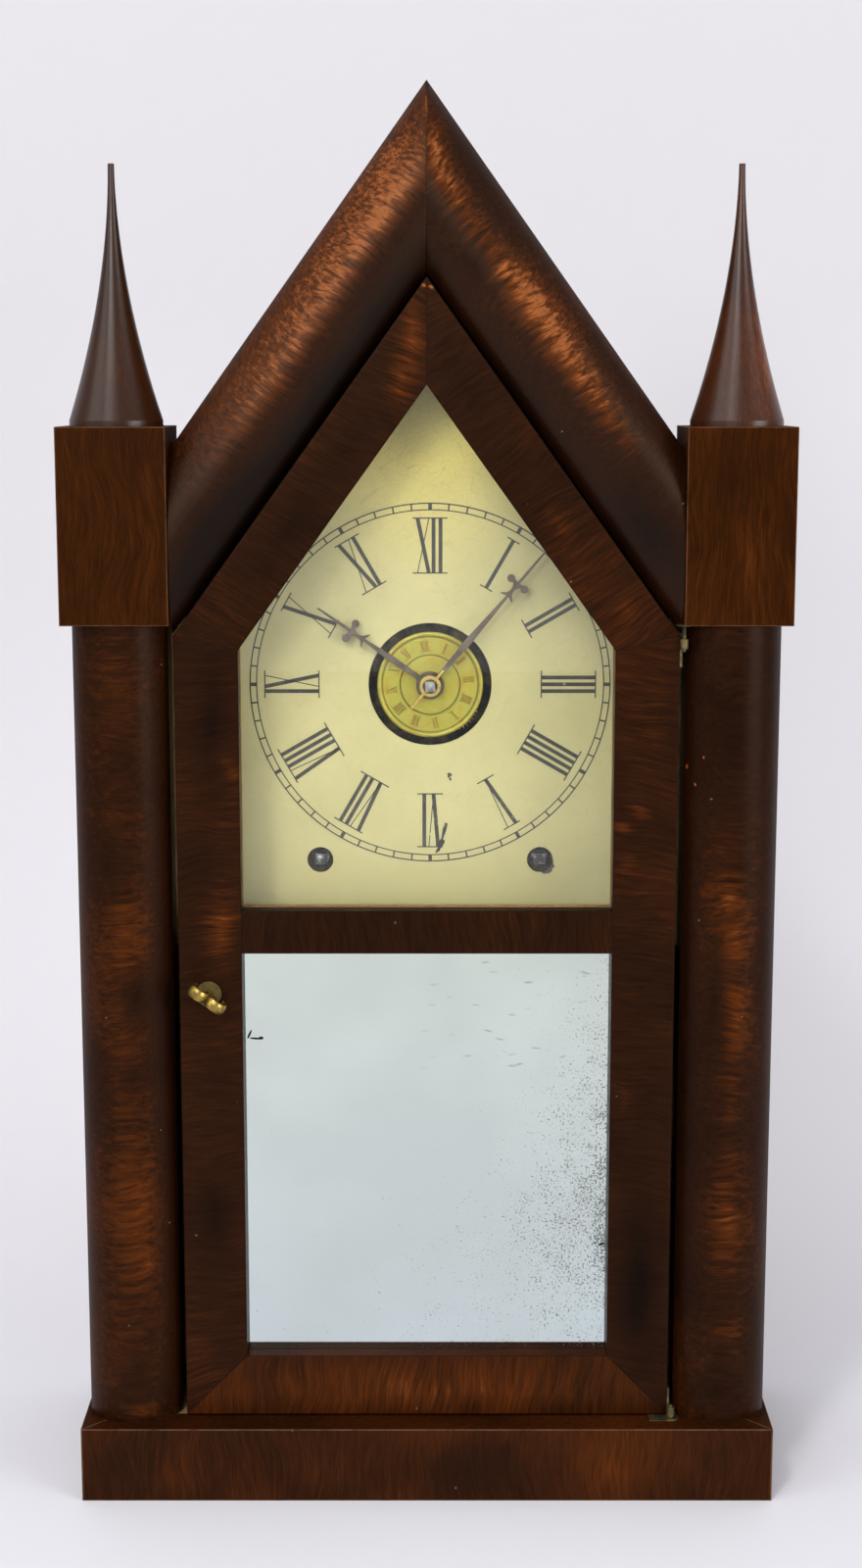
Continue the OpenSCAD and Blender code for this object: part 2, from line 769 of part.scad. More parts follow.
// Lantern pinion: steel pins between two brass caps
module lantern(at, n, m, turn, y0, y1, cap_t, bore_r) {
    pitch_r = n * m / 2;
    pin_r = 0.5 * m;
    cap_r = pitch_r + pin_r + 0.25;
    for (y = [y0, y1 - cap_t]) difference() {
        rod(at, y, y + cap_t, cap_r);
        rod(at, y - cut_over, y + cap_t + cut_over, bore_r);
    }
    for (i = [0 : n - 1])
        rod(polar(at, pitch_r, turn + i * 360 / n), y0 + cap_t / 2, y1 - cap_t / 2, pin_r);
}

// An arbor between the plates with a pivot at each end
module arbor(at, front_end, back_end) {
    rod(at, front_plate_back + end_shake, back_plate_front - end_shake, arbor_r);
    rod(at, front_end, back_end, pivot_r);
}

// Movement frame
module plate_outline() {
    shoulder_w = 12;
    shoulder_z = verge_z - 26;
    window_half = 9;
    window_z = wind_z - 12;
    window_h = 34;
    difference() {
        translate([-plate_half, plate_low_z])
            square([2 * plate_half, plate_top_z - plate_low_z]);
        for (side = [-1, 1]) mirror([side < 0 ? 1 : 0, 0]) {
            translate([plate_half - shoulder_w, shoulder_z])
                square([shoulder_w + cut_over, plate_top_z - shoulder_z + cut_over]);
        }
        translate([-window_half, window_z]) square([2 * window_half, window_h]);
    }
}
module pivot_holes() {
    for (at = [second_at, third_at, escape_at, verge_at, strike_second_at,
            strike_third_at, fly_at])
        translate(at) circle(r = pivot_r + running_gap);
}
module pillar_places() {
    inset = 5;
    for (x = [inset - plate_half, plate_half - inset], z = [plate_low_z + inset, verge_z - 34])
        translate([x, 0, z]) children();
}
module front_plate() {
    in_movement(brass) {
        difference() {
            slab(front_plate_y, front_plate_back) difference() {
                plate_outline();
                pivot_holes();
                translate(centre_at) circle(r = arbor_r + running_gap);
                for (at = [going_great_at, strike_great_at])
                    translate(at) circle(r = wind_arbor_r + running_gap);
            }
            pillar_places() rod([0, 0], front_plate_y - cut_over, front_plate_back + cut_over,
                pillar_r / 2 + running_gap);
        }
        rod(minute_wheel_at, front_plate_y - 6, front_plate_y, 1);
    }
}
module back_plate() {
    in_movement(brass) {
        slab(back_plate_front, back_plate_back) difference() {
            plate_outline();
            pivot_holes();
            translate(centre_at) circle(r = pivot_r + running_gap);
            for (at = [going_great_at, strike_great_at])
                translate(at) circle(r = wind_arbor_r - 1 + running_gap);
        }
        pillar_places() {
            rod([0, 0], front_plate_back, back_plate_front, pillar_r);
            rod([0, 0], front_plate_y - 1, front_plate_back, pillar_r / 2);
        }
        suspension_post();
    }
}
module suspension_post() {
    post_low = 1.2;
    slit = 0.9;
    difference() {
        translate([-3, back_plate_back, verge_z + post_low])
            cube([6, pendulum_y + 3 - back_plate_back, 8]);
        translate([-slit / 2, pendulum_y - 1.2, verge_z])
            cube([slit, spring_strip_w + 0.4, spring_above + 0.3]);
    }
    rod(hammer_at, back_plate_back, back_plate_back + 7, 1.5);
}
module movement_feet() {
    foot_r = 4;
    in_movement(steel) pillar_places()
        rod([0, 0], back_plate_back, back_board_front, foot_r);
}

// Mainsprings wound in half turns, each centred by turns on one of two points
module spiral_2d(inner_r, pitch, turns, thick) {
    for (k = [0 : 2 * turns - 1]) {
        r = inner_r + k * pitch / 2;
        lower = k % 2;
        translate([lower * pitch / 2, 0]) difference() {
            circle(r = r + thick);
            circle(r = r);
            translate([-2 * r, lower == 1 ? 0 : -2 * r]) square([4 * r, 2 * r]);
        }
    }
}
module mainsprings() {
    in_movement(steel) for (at = [going_great_at, strike_great_at])
        translate([at[0], 0, at[1]]) slab(spring_front, spring_front + spring_w)
        spiral_2d(wind_arbor_r + 0.6, spring_pitch, spring_turns, spring_t);
}

// Winding arbors, each with its square and ratchet wheel
module ratchet_outline() {
    step = 360 / ratchet_n;
    polygon([for (i = [0 : ratchet_n - 1]) each [
        polar([0, 0], ratchet_r, i * step), polar([0, 0], ratchet_r - 1.5, i * step + 0.12 * step)
    ]]);
}
module winding_arbor(at) {
    ratchet_front = great_front + great_t + 0.3;
    square_back = front_plate_y - 2;
    in_movement(steel) {
        rod(at, square_back, back_plate_front - end_shake, wind_arbor_r);
        rod(at, back_plate_front - end_shake, back_plate_back + 0.5, wind_arbor_r - 1);
        translate([at[0] - wind_square / 2, square_front, at[1] - wind_square / 2])
            cube([wind_square, square_back - square_front, wind_square]);
        translate([at[0], 0, at[1]]) slab(ratchet_front, ratchet_front + ratchet_t)
            ratchet_outline();
    }
}

// Great wheels ride on the winding arbors and carry the click
module great_wheel(at) {
    click_a = 216;
    click_at_r = ratchet_r + 3.4;
    in_movement(brass) {
        train_wheel(at, great_n, train_m, 0, great_front, great_t, 0.45 * great_n * train_m / 2,
            wind_arbor_r + running_gap, 5);
        translate([at[0], 0, at[1]]) slab(great_front + great_t, great_front + great_t + ratchet_t) {
            translate(polar([0, 0], click_at_r, click_a)) circle(r = 2);
            polygon([
                polar([0, 0], click_at_r + 1.6, click_a), polar([0, 0], ratchet_r + 1.8, click_a + 36),
                polar([0, 0], ratchet_r + 0.4, click_a + 40), polar([0, 0], click_at_r - 1.8, click_a)
            ]);
        }
        rod(polar(at, click_at_r, click_a), great_front + great_t, great_front + great_t + 2, 1.1);
    }
}

module going_great_wheel() {
    great_wheel(going_great_at);
}
module going_second_wheel() {
    in_movement(brass) {
        arbor(second_at, front_plate_y - pivot_out, back_plate_back + pivot_out);
        lantern(second_at, second_pins, train_m, going_second_turn, great_front - cap_reach,
            great_front + great_t + cap_reach, pinion_cap, arbor_r - bite);
        train_wheel(second_at, second_n, train_m, 0, back_wheel_front, wheel_t,
            4, arbor_r - bite, 4);
    }
}
module centre_wheel() {
    pipe_r = arbor_r + 0.9;
    pinion_front = back_wheel_front - cap_reach;
    in_movement(brass) {
        train_wheel(centre_at, centre_n, upper_m, 0, centre_wheel_front, wheel_t,
            4, arbor_r + running_gap, 4);
        lantern(centre_at, centre_pins, train_m, centre_turn, pinion_front,
            back_wheel_front + wheel_t + cap_reach, pinion_cap, arbor_r + running_gap);
        difference() {
            rod(centre_at, centre_wheel_front + wheel_t, pinion_front + 0.5, pipe_r);
            rod(centre_at, centre_wheel_front, pinion_front + 1, arbor_r + running_gap);
        }
    }
}
module third_wheel() {
    in_movement(brass) {
        arbor(third_at, front_plate_y - pivot_out, back_plate_back + pivot_out);
        lantern(third_at, third_pins, upper_m, third_turn, centre_wheel_front - cap_reach,
            centre_wheel_front + wheel_t + cap_reach, pinion_cap, arbor_r - bite);
        train_wheel(third_at, third_n, upper_m, 0, third_wheel_front, wheel_t,
            3.5, arbor_r - bite, 4);
    }
}
module escape_wheel() {
    step = 360 / escape_n;
    in_movement(brass) {
        arbor(escape_at, front_plate_y - pivot_out, back_plate_back + pivot_out);
        lantern(escape_at, escape_pins, upper_m, escape_turn, third_wheel_front - cap_reach,
            third_wheel_front + wheel_t + cap_reach, pinion_cap, arbor_r - bite);
        translate([0, 0, escape_z]) slab(escape_front, escape_front + wheel_t) difference() {
            polygon([for (i = [0 : escape_n - 1]) each [
                polar([0, 0], escape_r - 2, (i + 0.3) * step + escape_lead),
                polar([0, 0], escape_r, (i + 0.5) * step + escape_lead),
                polar([0, 0], escape_r - 2, (i + 0.56) * step + escape_lead)
            ]]);
            wheel_crossings(escape_r - 3.6, 3.5, 4, 2.6);
            circle(r = arbor_r - bite);
        }
    }
}

// Verge: bent steel strip whose two ends are the pallets, with the crutch behind
module verge() {
    strip_t = 0.7;
    strip_front = escape_front - 0.8;
    strip_back = escape_front + wheel_t + 0.8;
    pallet_r = escape_r + 0.15;
    bow_r = verge_z - escape_z + 2.5;
    crutch_front = back_plate_back + 1.2;
    crutch_low = verge_z - 34;
    wire_t = 1;
    in_movement(steel) {
        arbor(verge_at, front_plate_y - pivot_out, crutch_front + wire_t);
        translate([0, 0, escape_z]) slab(strip_front, strip_back) {
            for (side = [-1, 1]) mirror([side < 0 ? 1 : 0, 0]) rotate(90 - pallet_half)
                translate([pallet_r, -strip_t / 2]) square([bow_r - pallet_r, strip_t]);
            difference() {
                circle(r = bow_r);
                circle(r = bow_r - strip_t);
                rotate(90 - pallet_half) translate([-2 * bow_r, -4 * bow_r])
                    square([4 * bow_r, 4 * bow_r]);
                rotate(90 + pallet_half) translate([-2 * bow_r, 0])
                    square([4 * bow_r, 4 * bow_r]);
            }
            translate([-arbor_r, verge_z - escape_z]) square([2 * arbor_r, 2.5 - strip_t / 2]);
        }
        translate([-wire_t / 2, crutch_front, crutch_low])
            cube([wire_t, wire_t, verge_z - crutch_low]);
        for (side = [-1, 1])
            translate([side * (rod_r + 0.7) - wire_t / 2, crutch_front, crutch_low - wire_t])
            cube([wire_t, pendulum_y + 2 - crutch_front, wire_t]);
        translate([-rod_r - 0.7 - wire_t / 2, crutch_front, crutch_low - wire_t])
            cube([2 * rod_r + 1.4 + wire_t, wire_t, 1.5 * wire_t]);
    }
}

// Pendulum: suspension spring, rod with rating nut, and the bob
module pendulum_rod() {
    bob_z = verge_z - pendulum_l;
    in_movement(steel) {
        translate([-0.15, pendulum_y - 1, verge_z - 8])
            cube([0.3, spring_strip_w, 8 + spring_above]);
        translate([0, pendulum_y, bob_z - bob_r - 10])
            cylinder(h = verge_z - 6 - (bob_z - bob_r - 10), r = rod_r);
        translate([0, pendulum_y, bob_z - bob_r - 4]) cylinder(h = 4, r = 3.5, $fn = 32);
    }
}
module pendulum_bob() {
    bob_z = verge_z - pendulum_l;
    face_r = (bob_r * bob_r + bob_t * bob_t / 4) / bob_t;
    in_movement(brass) difference() {
        translate([0, pendulum_y, bob_z]) rotate([90, 0, 0]) intersection() {
            translate([0, 0, face_r - bob_t / 2]) sphere(r = face_r, $fn = 96);
            translate([0, 0, bob_t / 2 - face_r]) sphere(r = face_r, $fn = 96);
            cylinder(h = bob_t, r = bob_r - 0.4, center = true);
        }
        translate([0, pendulum_y, bob_z - bob_r - cut_over])
            cylinder(h = 2 * bob_r + 2 * cut_over, r = rod_r + running_gap);
    }
}

// Strike train
module strike_great_wheel() {
    great_wheel(strike_great_at);
}
module strike_second_wheel() {
    lift_n = 8;
    lift_r = 7;
    disc_front = back_plate_back + 1.5;
    in_movement(brass) {
        arbor(strike_second_at, front_plate_y - pivot_out, disc_front);
        lantern(strike_second_at, second_pins, train_m, strike_second_turn, great_front - cap_reach,
            great_front + great_t + cap_reach, pinion_cap, arbor_r - bite);
        train_wheel(strike_second_at, strike_second_n, strike_m, 0, back_wheel_front, wheel_t,
            4, arbor_r - bite, 4);
        rod(strike_second_at, disc_front, disc_front + 1, lift_r + 2);
        for (i = [0 : lift_n - 1])
            rod(polar(strike_second_at, lift_r, i * 360 / lift_n), disc_front + 0.5,
                disc_front + 4, 0.8);
    }
}
module strike_third_wheel() {
    in_movement(brass) {
        arbor(strike_third_at, front_plate_y - pivot_out, back_plate_back + pivot_out);
        lantern(strike_third_at, strike_third_pins, strike_m, strike_third_turn,
            back_wheel_front - cap_reach, back_wheel_front + wheel_t + 1, 0.6, arbor_r - bite);
        train_wheel(strike_third_at, strike_third_n, fly_m, 0, strike_third_front, wheel_t,
            3, arbor_r - bite, 4);
    }
}
module fly() {
    vane_front = strike_third_front + wheel_t + 1.8;
    in_movement(brass) {
        arbor(fly_at, front_plate_y - pivot_out, back_plate_back + pivot_out);
        lantern(fly_at, fly_pins, fly_m, fly_turn, strike_third_front - 1.3,
            strike_third_front + wheel_t + 1.3, 0.6, arbor_r - bite);
        translate([fly_at[0] - 12, vane_front, fly_at[1] - 0.3]) cube([24, 7, 0.6]);
    }
}

// Hammer on a stud behind the back plate, lifted by its tail
module strike_hammer() {
    hub_r = 3;
    lever_y = back_plate_back + 3;
    head_r = 3.5;
    head_l = 8;
    head_at = [-gong_left - 1.5 - head_l / 2, gong_z + 5];
    tail_at = strike_second_at + [2, -9.6];
    in_movement(steel) {
        difference() {
            rod(hammer_at, back_plate_back + 0.3, back_plate_back + 6.5, hub_r);
            rod(hammer_at, back_plate_back - cut_over, back_plate_back + 8, 1.5 + running_gap);
        }
        slab(lever_y, lever_y + 1.6) {
            polygon([
                hammer_at + [-2.4, 0], hammer_at + [0, 2.4],
                tail_at + [0.8, 0], tail_at + [-0.8, 0]
            ]);
            polygon([
                hammer_at + [-2.4, -1], hammer_at + [0.6, -2.4],
                head_at + [0.8, 0], head_at + [-0.8, 0]
            ]);
        }
        rod(head_at, lever_y, gong_y, 1.4);
        translate([head_at[0] - head_l / 2, gong_y, head_at[1]]) rotate([0, 90, 0])
            cylinder(h = head_l, r = head_r, $fn = 32);
    }
}

// Coil gong on its iron stand
module gong_stand() {
    foot_half = 22;
    foot_h = 20;
    foot_t = 2.5;
    in_movement(iron) {
        rod([0, gong_z], gong_y - gong_wire_r - 1, back_board_front, gong_stand_r);
        slab(back_board_front - foot_t, back_board_front)
            translate([-foot_half, gong_z - foot_h / 2]) square([2 * foot_half, foot_h]);
    }
}
module gong_coil() {
    in_movement(dark_steel) translate([0, gong_y, gong_z]) rotate([90, 0, 0]) {
        for (k = [0 : 2 * gong_turns - 1]) {
            r = gong_inner + k * gong_pitch / 2;
            lower = k % 2;
            translate([lower * gong_pitch / 2, 0, 0]) rotate([0, 0, lower * 180])
                rotate_extrude(angle = 180, $fn = 48)
                translate([r, 0]) circle(r = gong_wire_r, $fn = 24);
        }
        translate([gong_stand_r, 0, 0]) rotate([90, 0, 90])
            cylinder(h = gong_inner - gong_stand_r, r = gong_wire_r, $fn = 24);
    }
}

// Motion work between plate and dial, and the hands
module leaf_teeth(n, m, turn) {
    pitch_r = n * m / 2;
    step = 360 / n;
    polygon([for (i = [0 : n - 1]) each
        let (a = turn + i * step)
        [
            polar([0, 0], pitch_r - 1.25 * m, a - 0.19 * step),
            polar([0, 0], pitch_r, a - 0.19 * step),
            polar([0, 0], pitch_r + 0.8 * m, a - 0.06 * step),
            polar([0, 0], pitch_r + 0.8 * m, a + 0.06 * step),
            polar([0, 0], pitch_r, a + 0.19 * step),
            polar([0, 0], pitch_r - 1.25 * m, a + 0.19 * step)
        ]
    ]);
}
module centre_arbor() {
    tip = 3.6;
    in_movement(steel) {
        rod(centre_at, minute_hand_y, back_plate_front - end_shake, arbor_r);
        rod(centre_at, back_plate_front - end_shake, back_plate_back + pivot_out, pivot_r);
        difference() {
            rod(centre_at, minute_hand_y + hand_t, front_plate_y - 0.2, cannon_pipe_r);
            rod(centre_at, minute_hand_y, front_plate_y, arbor_r - bite);
        }
        translate([0, 0, dial_z]) slab(cannon_y, cannon_y + 1.8)
            leaf_teeth(cannon_n, cannon_m, 90);
        translate([0, minute_hand_y - 3, dial_z]) rotate([0, 45 + minute_angle, 0])
            translate([-tip / 2, 0, -tip / 2]) cube([tip, 3, tip]);
        rod(centre_at, minute_hand_y - 1, minute_hand_y + 1, arbor_r);
    }
}
module minute_wheel() {
    in_movement(brass) {
        translate([minute_wheel_at[0], 0, minute_wheel_at[1]]) {
            slab(cannon_y + 0.4, cannon_y + 1.4) difference() {
                leaf_teeth(minute_n, cannon_m, minute_wheel_turn);
                circle(r = 1 + running_gap);
            }
            slab(hour_wheel_y - 0.3, cannon_y + 0.4) difference() {
                leaf_teeth(minute_pinion_n, hour_m, 0);
                circle(r = 1 + running_gap);
            }
        }
    }
}
module hour_wheel() {
    in_movement(brass) {
        translate([0, 0, dial_z]) slab(hour_wheel_y, hour_wheel_y + 1) difference() {
            leaf_teeth(hour_n, hour_m, hour_turn);
            circle(r = hour_bore_r);
        }
        difference() {
            rod(centre_at, hour_hand_y, hour_wheel_y, hour_pipe_r);
            rod(centre_at, hour_hand_y - cut_over, hour_wheel_y + 1, hour_bore_r);
        }
    }
}

// Right half of a hand that points up, from its tip down round its hub: a slim spear, an arm with a
// ball, a round bite that leaves a waist and a barb that points back, and a bar that widens to
// wide_half at wide_at. The hand's ornament is measured from the middle between its balls.
function hand_flank(long, ornament, hub_r, root_half, wide_half, wide_at) =
    let (
        neck_half = 0.5,
        spear_half = 0.55,
        tip_half = 0.25,
        ball = [3.15, ornament],
        ball_r = 1.45,
        bite = [3.6, ornament - 3.05],
        bite_r = 3,
        corner = meet(ball, ball_r, bite, bite_r)
    )
    concat(
        [[tip_half, long], [spear_half, ornament + (long - ornament) / 3], [neck_half, ornament + 0.45]],
        arc(ball, ball_r, 150, heading(ball, corner)),
        arc(bite, bite_r, heading(bite, corner), 244),
        [[2.9, ornament - 6.7], [neck_half, ornament - 5.9], [wide_half, wide_at]],
        arc([0, 0], hub_r, acos(root_half / hub_r), -90)
    );
module hand_outline(long, ornament, hub_r, root_half, wide_half, wide_at) {
    flank = hand_flank(long, ornament, hub_r, root_half, wide_half, wide_at);
    last = len(flank) - 1;
    polygon(concat(flank, [for (i = [last - 1 : -1 : 0]) [-flank[i][0], flank[i][1]]]));
}
module minute_hand() {
    in_movement(dark_steel) translate([0, 0, dial_z]) rotate([0, minute_angle, 0])
        slab(minute_hand_y, minute_hand_y + hand_t) difference() {
            hand_outline(minute_l, minute_ornament, 3.9, 0.65, 1.3, 0.43 * minute_ornament);
            circle(r = arbor_r);
        }
}
module hour_hand() {
    in_movement(dark_steel) translate([0, 0, dial_z]) rotate([0, hour_angle, 0])
        slab(hour_hand_y, hour_hand_y + hand_t) difference() {
            hand_outline(hour_l, hour_ornament, 5.1, 0.85, 1.1, 0.5 * hour_ornament);
            circle(r = hour_pipe_r);
        }
}
module alarm_disc() {
    groove = 0.25;
    in_movement(brass) translate([0, dial_front - alarm_gap, dial_z]) rotate([90, 0, 0]) difference() {
        cylinder(h = alarm_t, r = alarm_r, $fn = 96);
        translate([0, 0, -cut_over])
            cylinder(h = alarm_t + 2 * cut_over, r = hour_pipe_r + running_gap);
        for (r = [0.56 * alarm_r, 0.9 * alarm_r]) translate([0, 0, alarm_t - groove])
            difference() {
                cylinder(h = cut_over, r = r + 0.25);
                translate([0, 0, -cut_over]) cylinder(h = 3 * cut_over, r = r - 0.25);
            }
    }
}

base_front_board();
base_return(-1);  // base_left_return
base_return(1);  // base_right_return
floor_board();
side_board(-1);  // left_side_board
side_board(1);  // right_side_board
roof_board(-1);  // left_roof_board
roof_board(1);  // right_roof_board
back_board();
column(-1);  // left_column
column(1);  // right_column
capital_block(-1);  // left_capital_block
capital_block(1);  // right_capital_block
spire(-1);  // left_spire
spire(1);  // right_spire
gable_moulding(-1);  // left_gable_moulding
gable_moulding(1);  // right_gable_moulding
dial_rails();
case_hinge_leaves();
dial_plate();
door_stile(-1);  // left_door_stile
door_stile(1);  // right_door_stile
door_rake(-1);  // left_door_rake
door_rake(1);  // right_door_rake
door_mid_rail();
door_bottom_rail();
upper_glass();
mirror_glass();
mirror_panel();
glazing_beads();
knob_escutcheon();
door_hinge_leaves();
door_turn_knob();
front_plate();
back_plate();
movement_feet();
mainsprings();
winding_arbor(going_great_at);  // going_winding_arbor
going_great_wheel();
going_second_wheel();
centre_wheel();
third_wheel();
escape_wheel();
verge();
pendulum_rod();
pendulum_bob();
winding_arbor(strike_great_at);  // strike_winding_arbor
strike_great_wheel();
strike_second_wheel();
strike_third_wheel();
fly();
strike_hammer();
gong_stand();
gong_coil();
centre_arbor();
minute_hand();
minute_wheel();
hour_wheel();
hour_hand();
alarm_disc();
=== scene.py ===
# %% [markdown]
# # Dressing a steeple clock
#
# A steeple clock is a sharp-gabled shelf clock. Its pine case is covered with dark, polished
# veneer, its door has clear glass over the dial and an old looking glass below, and a brass
# movement hides behind the painted dial. The exact solids are already packed as a fixed frame.
# This lesson gives them their wood, paint, brass and glass, adds the small things that are
# painted or pinned on, and lights them. Every length below is written in millimetres and
# multiplied by MM where Blender needs metres.

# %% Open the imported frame
import math

import bmesh
import bpy
from mathutils import Matrix, Vector


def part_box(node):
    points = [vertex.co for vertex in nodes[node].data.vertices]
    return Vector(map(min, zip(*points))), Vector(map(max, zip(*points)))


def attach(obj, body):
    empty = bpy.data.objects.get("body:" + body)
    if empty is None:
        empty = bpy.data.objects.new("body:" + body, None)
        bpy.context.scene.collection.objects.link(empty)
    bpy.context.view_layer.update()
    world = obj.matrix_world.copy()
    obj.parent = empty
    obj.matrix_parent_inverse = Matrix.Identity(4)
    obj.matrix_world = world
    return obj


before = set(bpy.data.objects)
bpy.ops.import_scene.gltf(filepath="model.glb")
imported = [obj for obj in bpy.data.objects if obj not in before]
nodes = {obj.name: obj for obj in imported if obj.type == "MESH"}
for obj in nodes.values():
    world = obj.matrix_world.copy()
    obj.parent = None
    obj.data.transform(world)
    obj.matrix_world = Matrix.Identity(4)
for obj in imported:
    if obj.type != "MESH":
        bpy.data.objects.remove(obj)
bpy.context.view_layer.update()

MM = 0.001
print("solids in the frame:", len(nodes))

# %% [markdown]
# The frame has its origin in the middle of the clock's footprint: X runs to the right, Y to the
# back and Z up. Reading places from the boxes of the solids keeps every new piece in step with
# the model.

# %% Places that later pieces are set by
base_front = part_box("base_front_board")[0].y
dial_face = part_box("dial_plate")[0].y
disc_low, disc_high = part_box("alarm_disc")
disc_face = disc_low.y
dial_centre_x = (disc_low.x + disc_high.x) / 2
dial_centre_z = (disc_low.z + disc_high.z) / 2
print("dial centre is", round(dial_centre_z / MM, 1), "mm above the table and",
      round(dial_centre_x / MM, 1), "mm right of the middle")

# %% [markdown]
# ## Small tools for node trees
#
# A material is a network of nodes. Building it in code gets wordy, so these helpers add one node
# at a time. A number, a colour or the output of another node may go to any input.

# %% Helpers that add and join nodes
def join(tree, value, socket):
    """Feed a socket from another node, or give it a plain value."""
    if isinstance(value, bpy.types.NodeSocket):
        tree.links.new(value, socket)
    else:
        socket.default_value = value


def add_node(tree, kind, inputs=None, **settings):
    node = tree.nodes.new(kind)
    for key, value in settings.items():
        setattr(node, key, value)
    for key, value in (inputs or {}).items():
        join(tree, value, node.inputs[key])
    return node


def calc(tree, operation, a, b=0.0, c=0.0):
    values = {0: a, 1: b, 2: c}
    return add_node(tree, "ShaderNodeMath", values, operation=operation).outputs[0]


def stretch(tree, value, low, high, to_low=0.0, to_high=1.0):
    """Map low..high onto to_low..to_high and hold the ends."""
    values = {"Value": value, "From Min": low, "From Max": high, "To Min": to_low, "To Max": to_high}
    return add_node(tree, "ShaderNodeMapRange", values).outputs[0]


def rgb(colour):
    """Give a plain colour its fourth number, and leave the output of a node as it is."""
    return (*colour, 1.0) if isinstance(colour, tuple) else colour


def blend(tree, factor, first, second, mode="MIX"):
    values = {0: factor, 6: rgb(first), 7: rgb(second)}  # 6, 7 and output 2 are for colours
    return add_node(tree, "ShaderNodeMix", values, data_type="RGBA", blend_type=mode).outputs[2]


def scaled(tree, vector, by):
    values = {0: vector, 1: by}
    return add_node(tree, "ShaderNodeVectorMath", values, operation="MULTIPLY").outputs[0]


def added(tree, first, second):
    values = {0: first, 1: second}
    return add_node(tree, "ShaderNodeVectorMath", values, operation="ADD").outputs[0]


def upward(tree, value):
    return add_node(tree, "ShaderNodeCombineXYZ", {"Z": value}).outputs[0]


def part_of(tree, vector, axis):
    return add_node(tree, "ShaderNodeSeparateXYZ", {0: vector}).outputs[axis]


def object_place(tree):
    return add_node(tree, "ShaderNodeTexCoord").outputs["Object"]


def surface(tree, title):
    return add_node(tree, "ShaderNodeNewGeometry").outputs[title]


def noise(tree, place, fineness, detail=2.0, roughness=0.5, distortion=0.0):
    values = {"Vector": scaled(tree, place, fineness), "Scale": 1.0, "Detail": detail,
              "Roughness": roughness, "Distortion": distortion}
    return add_node(tree, "ShaderNodeTexNoise", values).outputs[0]


def cell_distance(tree, place, scale=1.0, feature="F1"):
    """How far a place is from scattered points, or from the borders between their cells."""
    values = {"Vector": place, "Scale": scale}
    return add_node(tree, "ShaderNodeTexVoronoi", values, feature=feature).outputs["Distance"]


def shades(tree, factor, stops):
    """A colour ramp through stops, each written as (place, colour)."""
    node = add_node(tree, "ShaderNodeValToRGB", {0: factor})
    ramp = node.color_ramp
    stops = list(stops)
    while len(ramp.elements) < len(stops):
        ramp.elements.new(0.5)
    for element, (place, colour) in zip(ramp.elements, stops):
        element.position = place
        element.color = rgb(colour)
    return node.outputs[0]


print("node helpers ready")

# %% [markdown]
# ## Effects that several finishes share
#
# A shader node group is a small machine with named sockets. The first two here are the figure of
# a veneer and the wear along its edges. The groups give out only masks and normals, and each
# material decides which colours they stand for.

# %% A helper that starts a node group
def start_group(name, inputs, outputs):
    group = bpy.data.node_groups.new(name, "ShaderNodeTree")
    for title, kind, value in inputs:
        socket = group.interface.new_socket(title, in_out="INPUT", socket_type=kind)
        socket.default_value = value
    for title, kind in outputs:
        group.interface.new_socket(title, in_out="OUTPUT", socket_type=kind)
    into = group.nodes.new("NodeGroupInput").outputs
    out = group.nodes.new("NodeGroupOutput").inputs
    return group, into, out


def put_group(tree, group, inputs):
    return add_node(tree, "ShaderNodeGroup", inputs, node_tree=group).outputs


VECTOR, FLOAT = "NodeSocketVector", "NodeSocketFloat"
print("group helpers ready")

# %% [markdown]
# The figure of the wood runs along X. Each pattern below has its own fineness in waves per
# millimetre, first along the grain and then both ways across it. A seed moves the place to
# another part of the pattern, and a slow noise pushes it up and down, so that the fibres waver
# as they do in a real board.

# %% Wood figure
FIBRES, STREAKS, PORES = (0.07, 1.3, 1.3), (0.045, 0.50, 0.50), (0.17, 2.1, 2.1)
CLOUDS, NICKS = (0.018, 0.024, 0.022), (0.05, 0.08, 0.08)
WAVER, WAVER_HEIGHT = (0.03,) * 3, 14.0

figure, into, out = start_group(
    "wood_figure",
    [("Position", VECTOR, (0, 0, 0)), ("Seed", FLOAT, 0.0), ("Fibre Width", FLOAT, 1.0)],
    [("Fibre", FLOAT), ("Cloud", FLOAT), ("Streak", FLOAT), ("Pore", FLOAT), ("Nick", FLOAT)],
)
moved = added(figure, into["Position"], scaled(figure, into["Seed"], (37.0, 11.0, 53.0)))
waver = calc(figure, "MULTIPLY", noise(figure, moved, WAVER, 1.0), WAVER_HEIGHT)
bent = added(figure, moved, upward(figure, waver))
fine = add_node(figure, "ShaderNodeVectorMath", {0: bent, "Scale": into["Fibre Width"]},
                operation="SCALE").outputs[0]
pore = noise(figure, fine, PORES, 2.0, 0.5)
nick = cell_distance(figure, scaled(figure, moved, NICKS))
join(figure, noise(figure, fine, FIBRES, 3.0, 0.6), out["Fibre"])
join(figure, noise(figure, moved, CLOUDS, 2.0, 0.5, 0.4), out["Cloud"])
join(figure, noise(figure, fine, STREAKS, 4.0, 0.6, 0.3), out["Streak"])
join(figure, stretch(figure, pore, 0.60, 0.72), out["Pore"])
join(figure, stretch(figure, nick, 0.020, 0.032, 1.0, 0.0), out["Nick"])
print("wood figure has", len(figure.nodes), "nodes")

# %% [markdown]
# Edges of an old case are rubbed by hands and dusters. The Bevel node returns the normal that a
# rounded edge would have. Where it differs from the true normal there is an edge, so one node
# gives both a mask and a soft catch of light along each arris.

# %% Worn edges
RUBBED_PATCHES = 160.0  # per metre

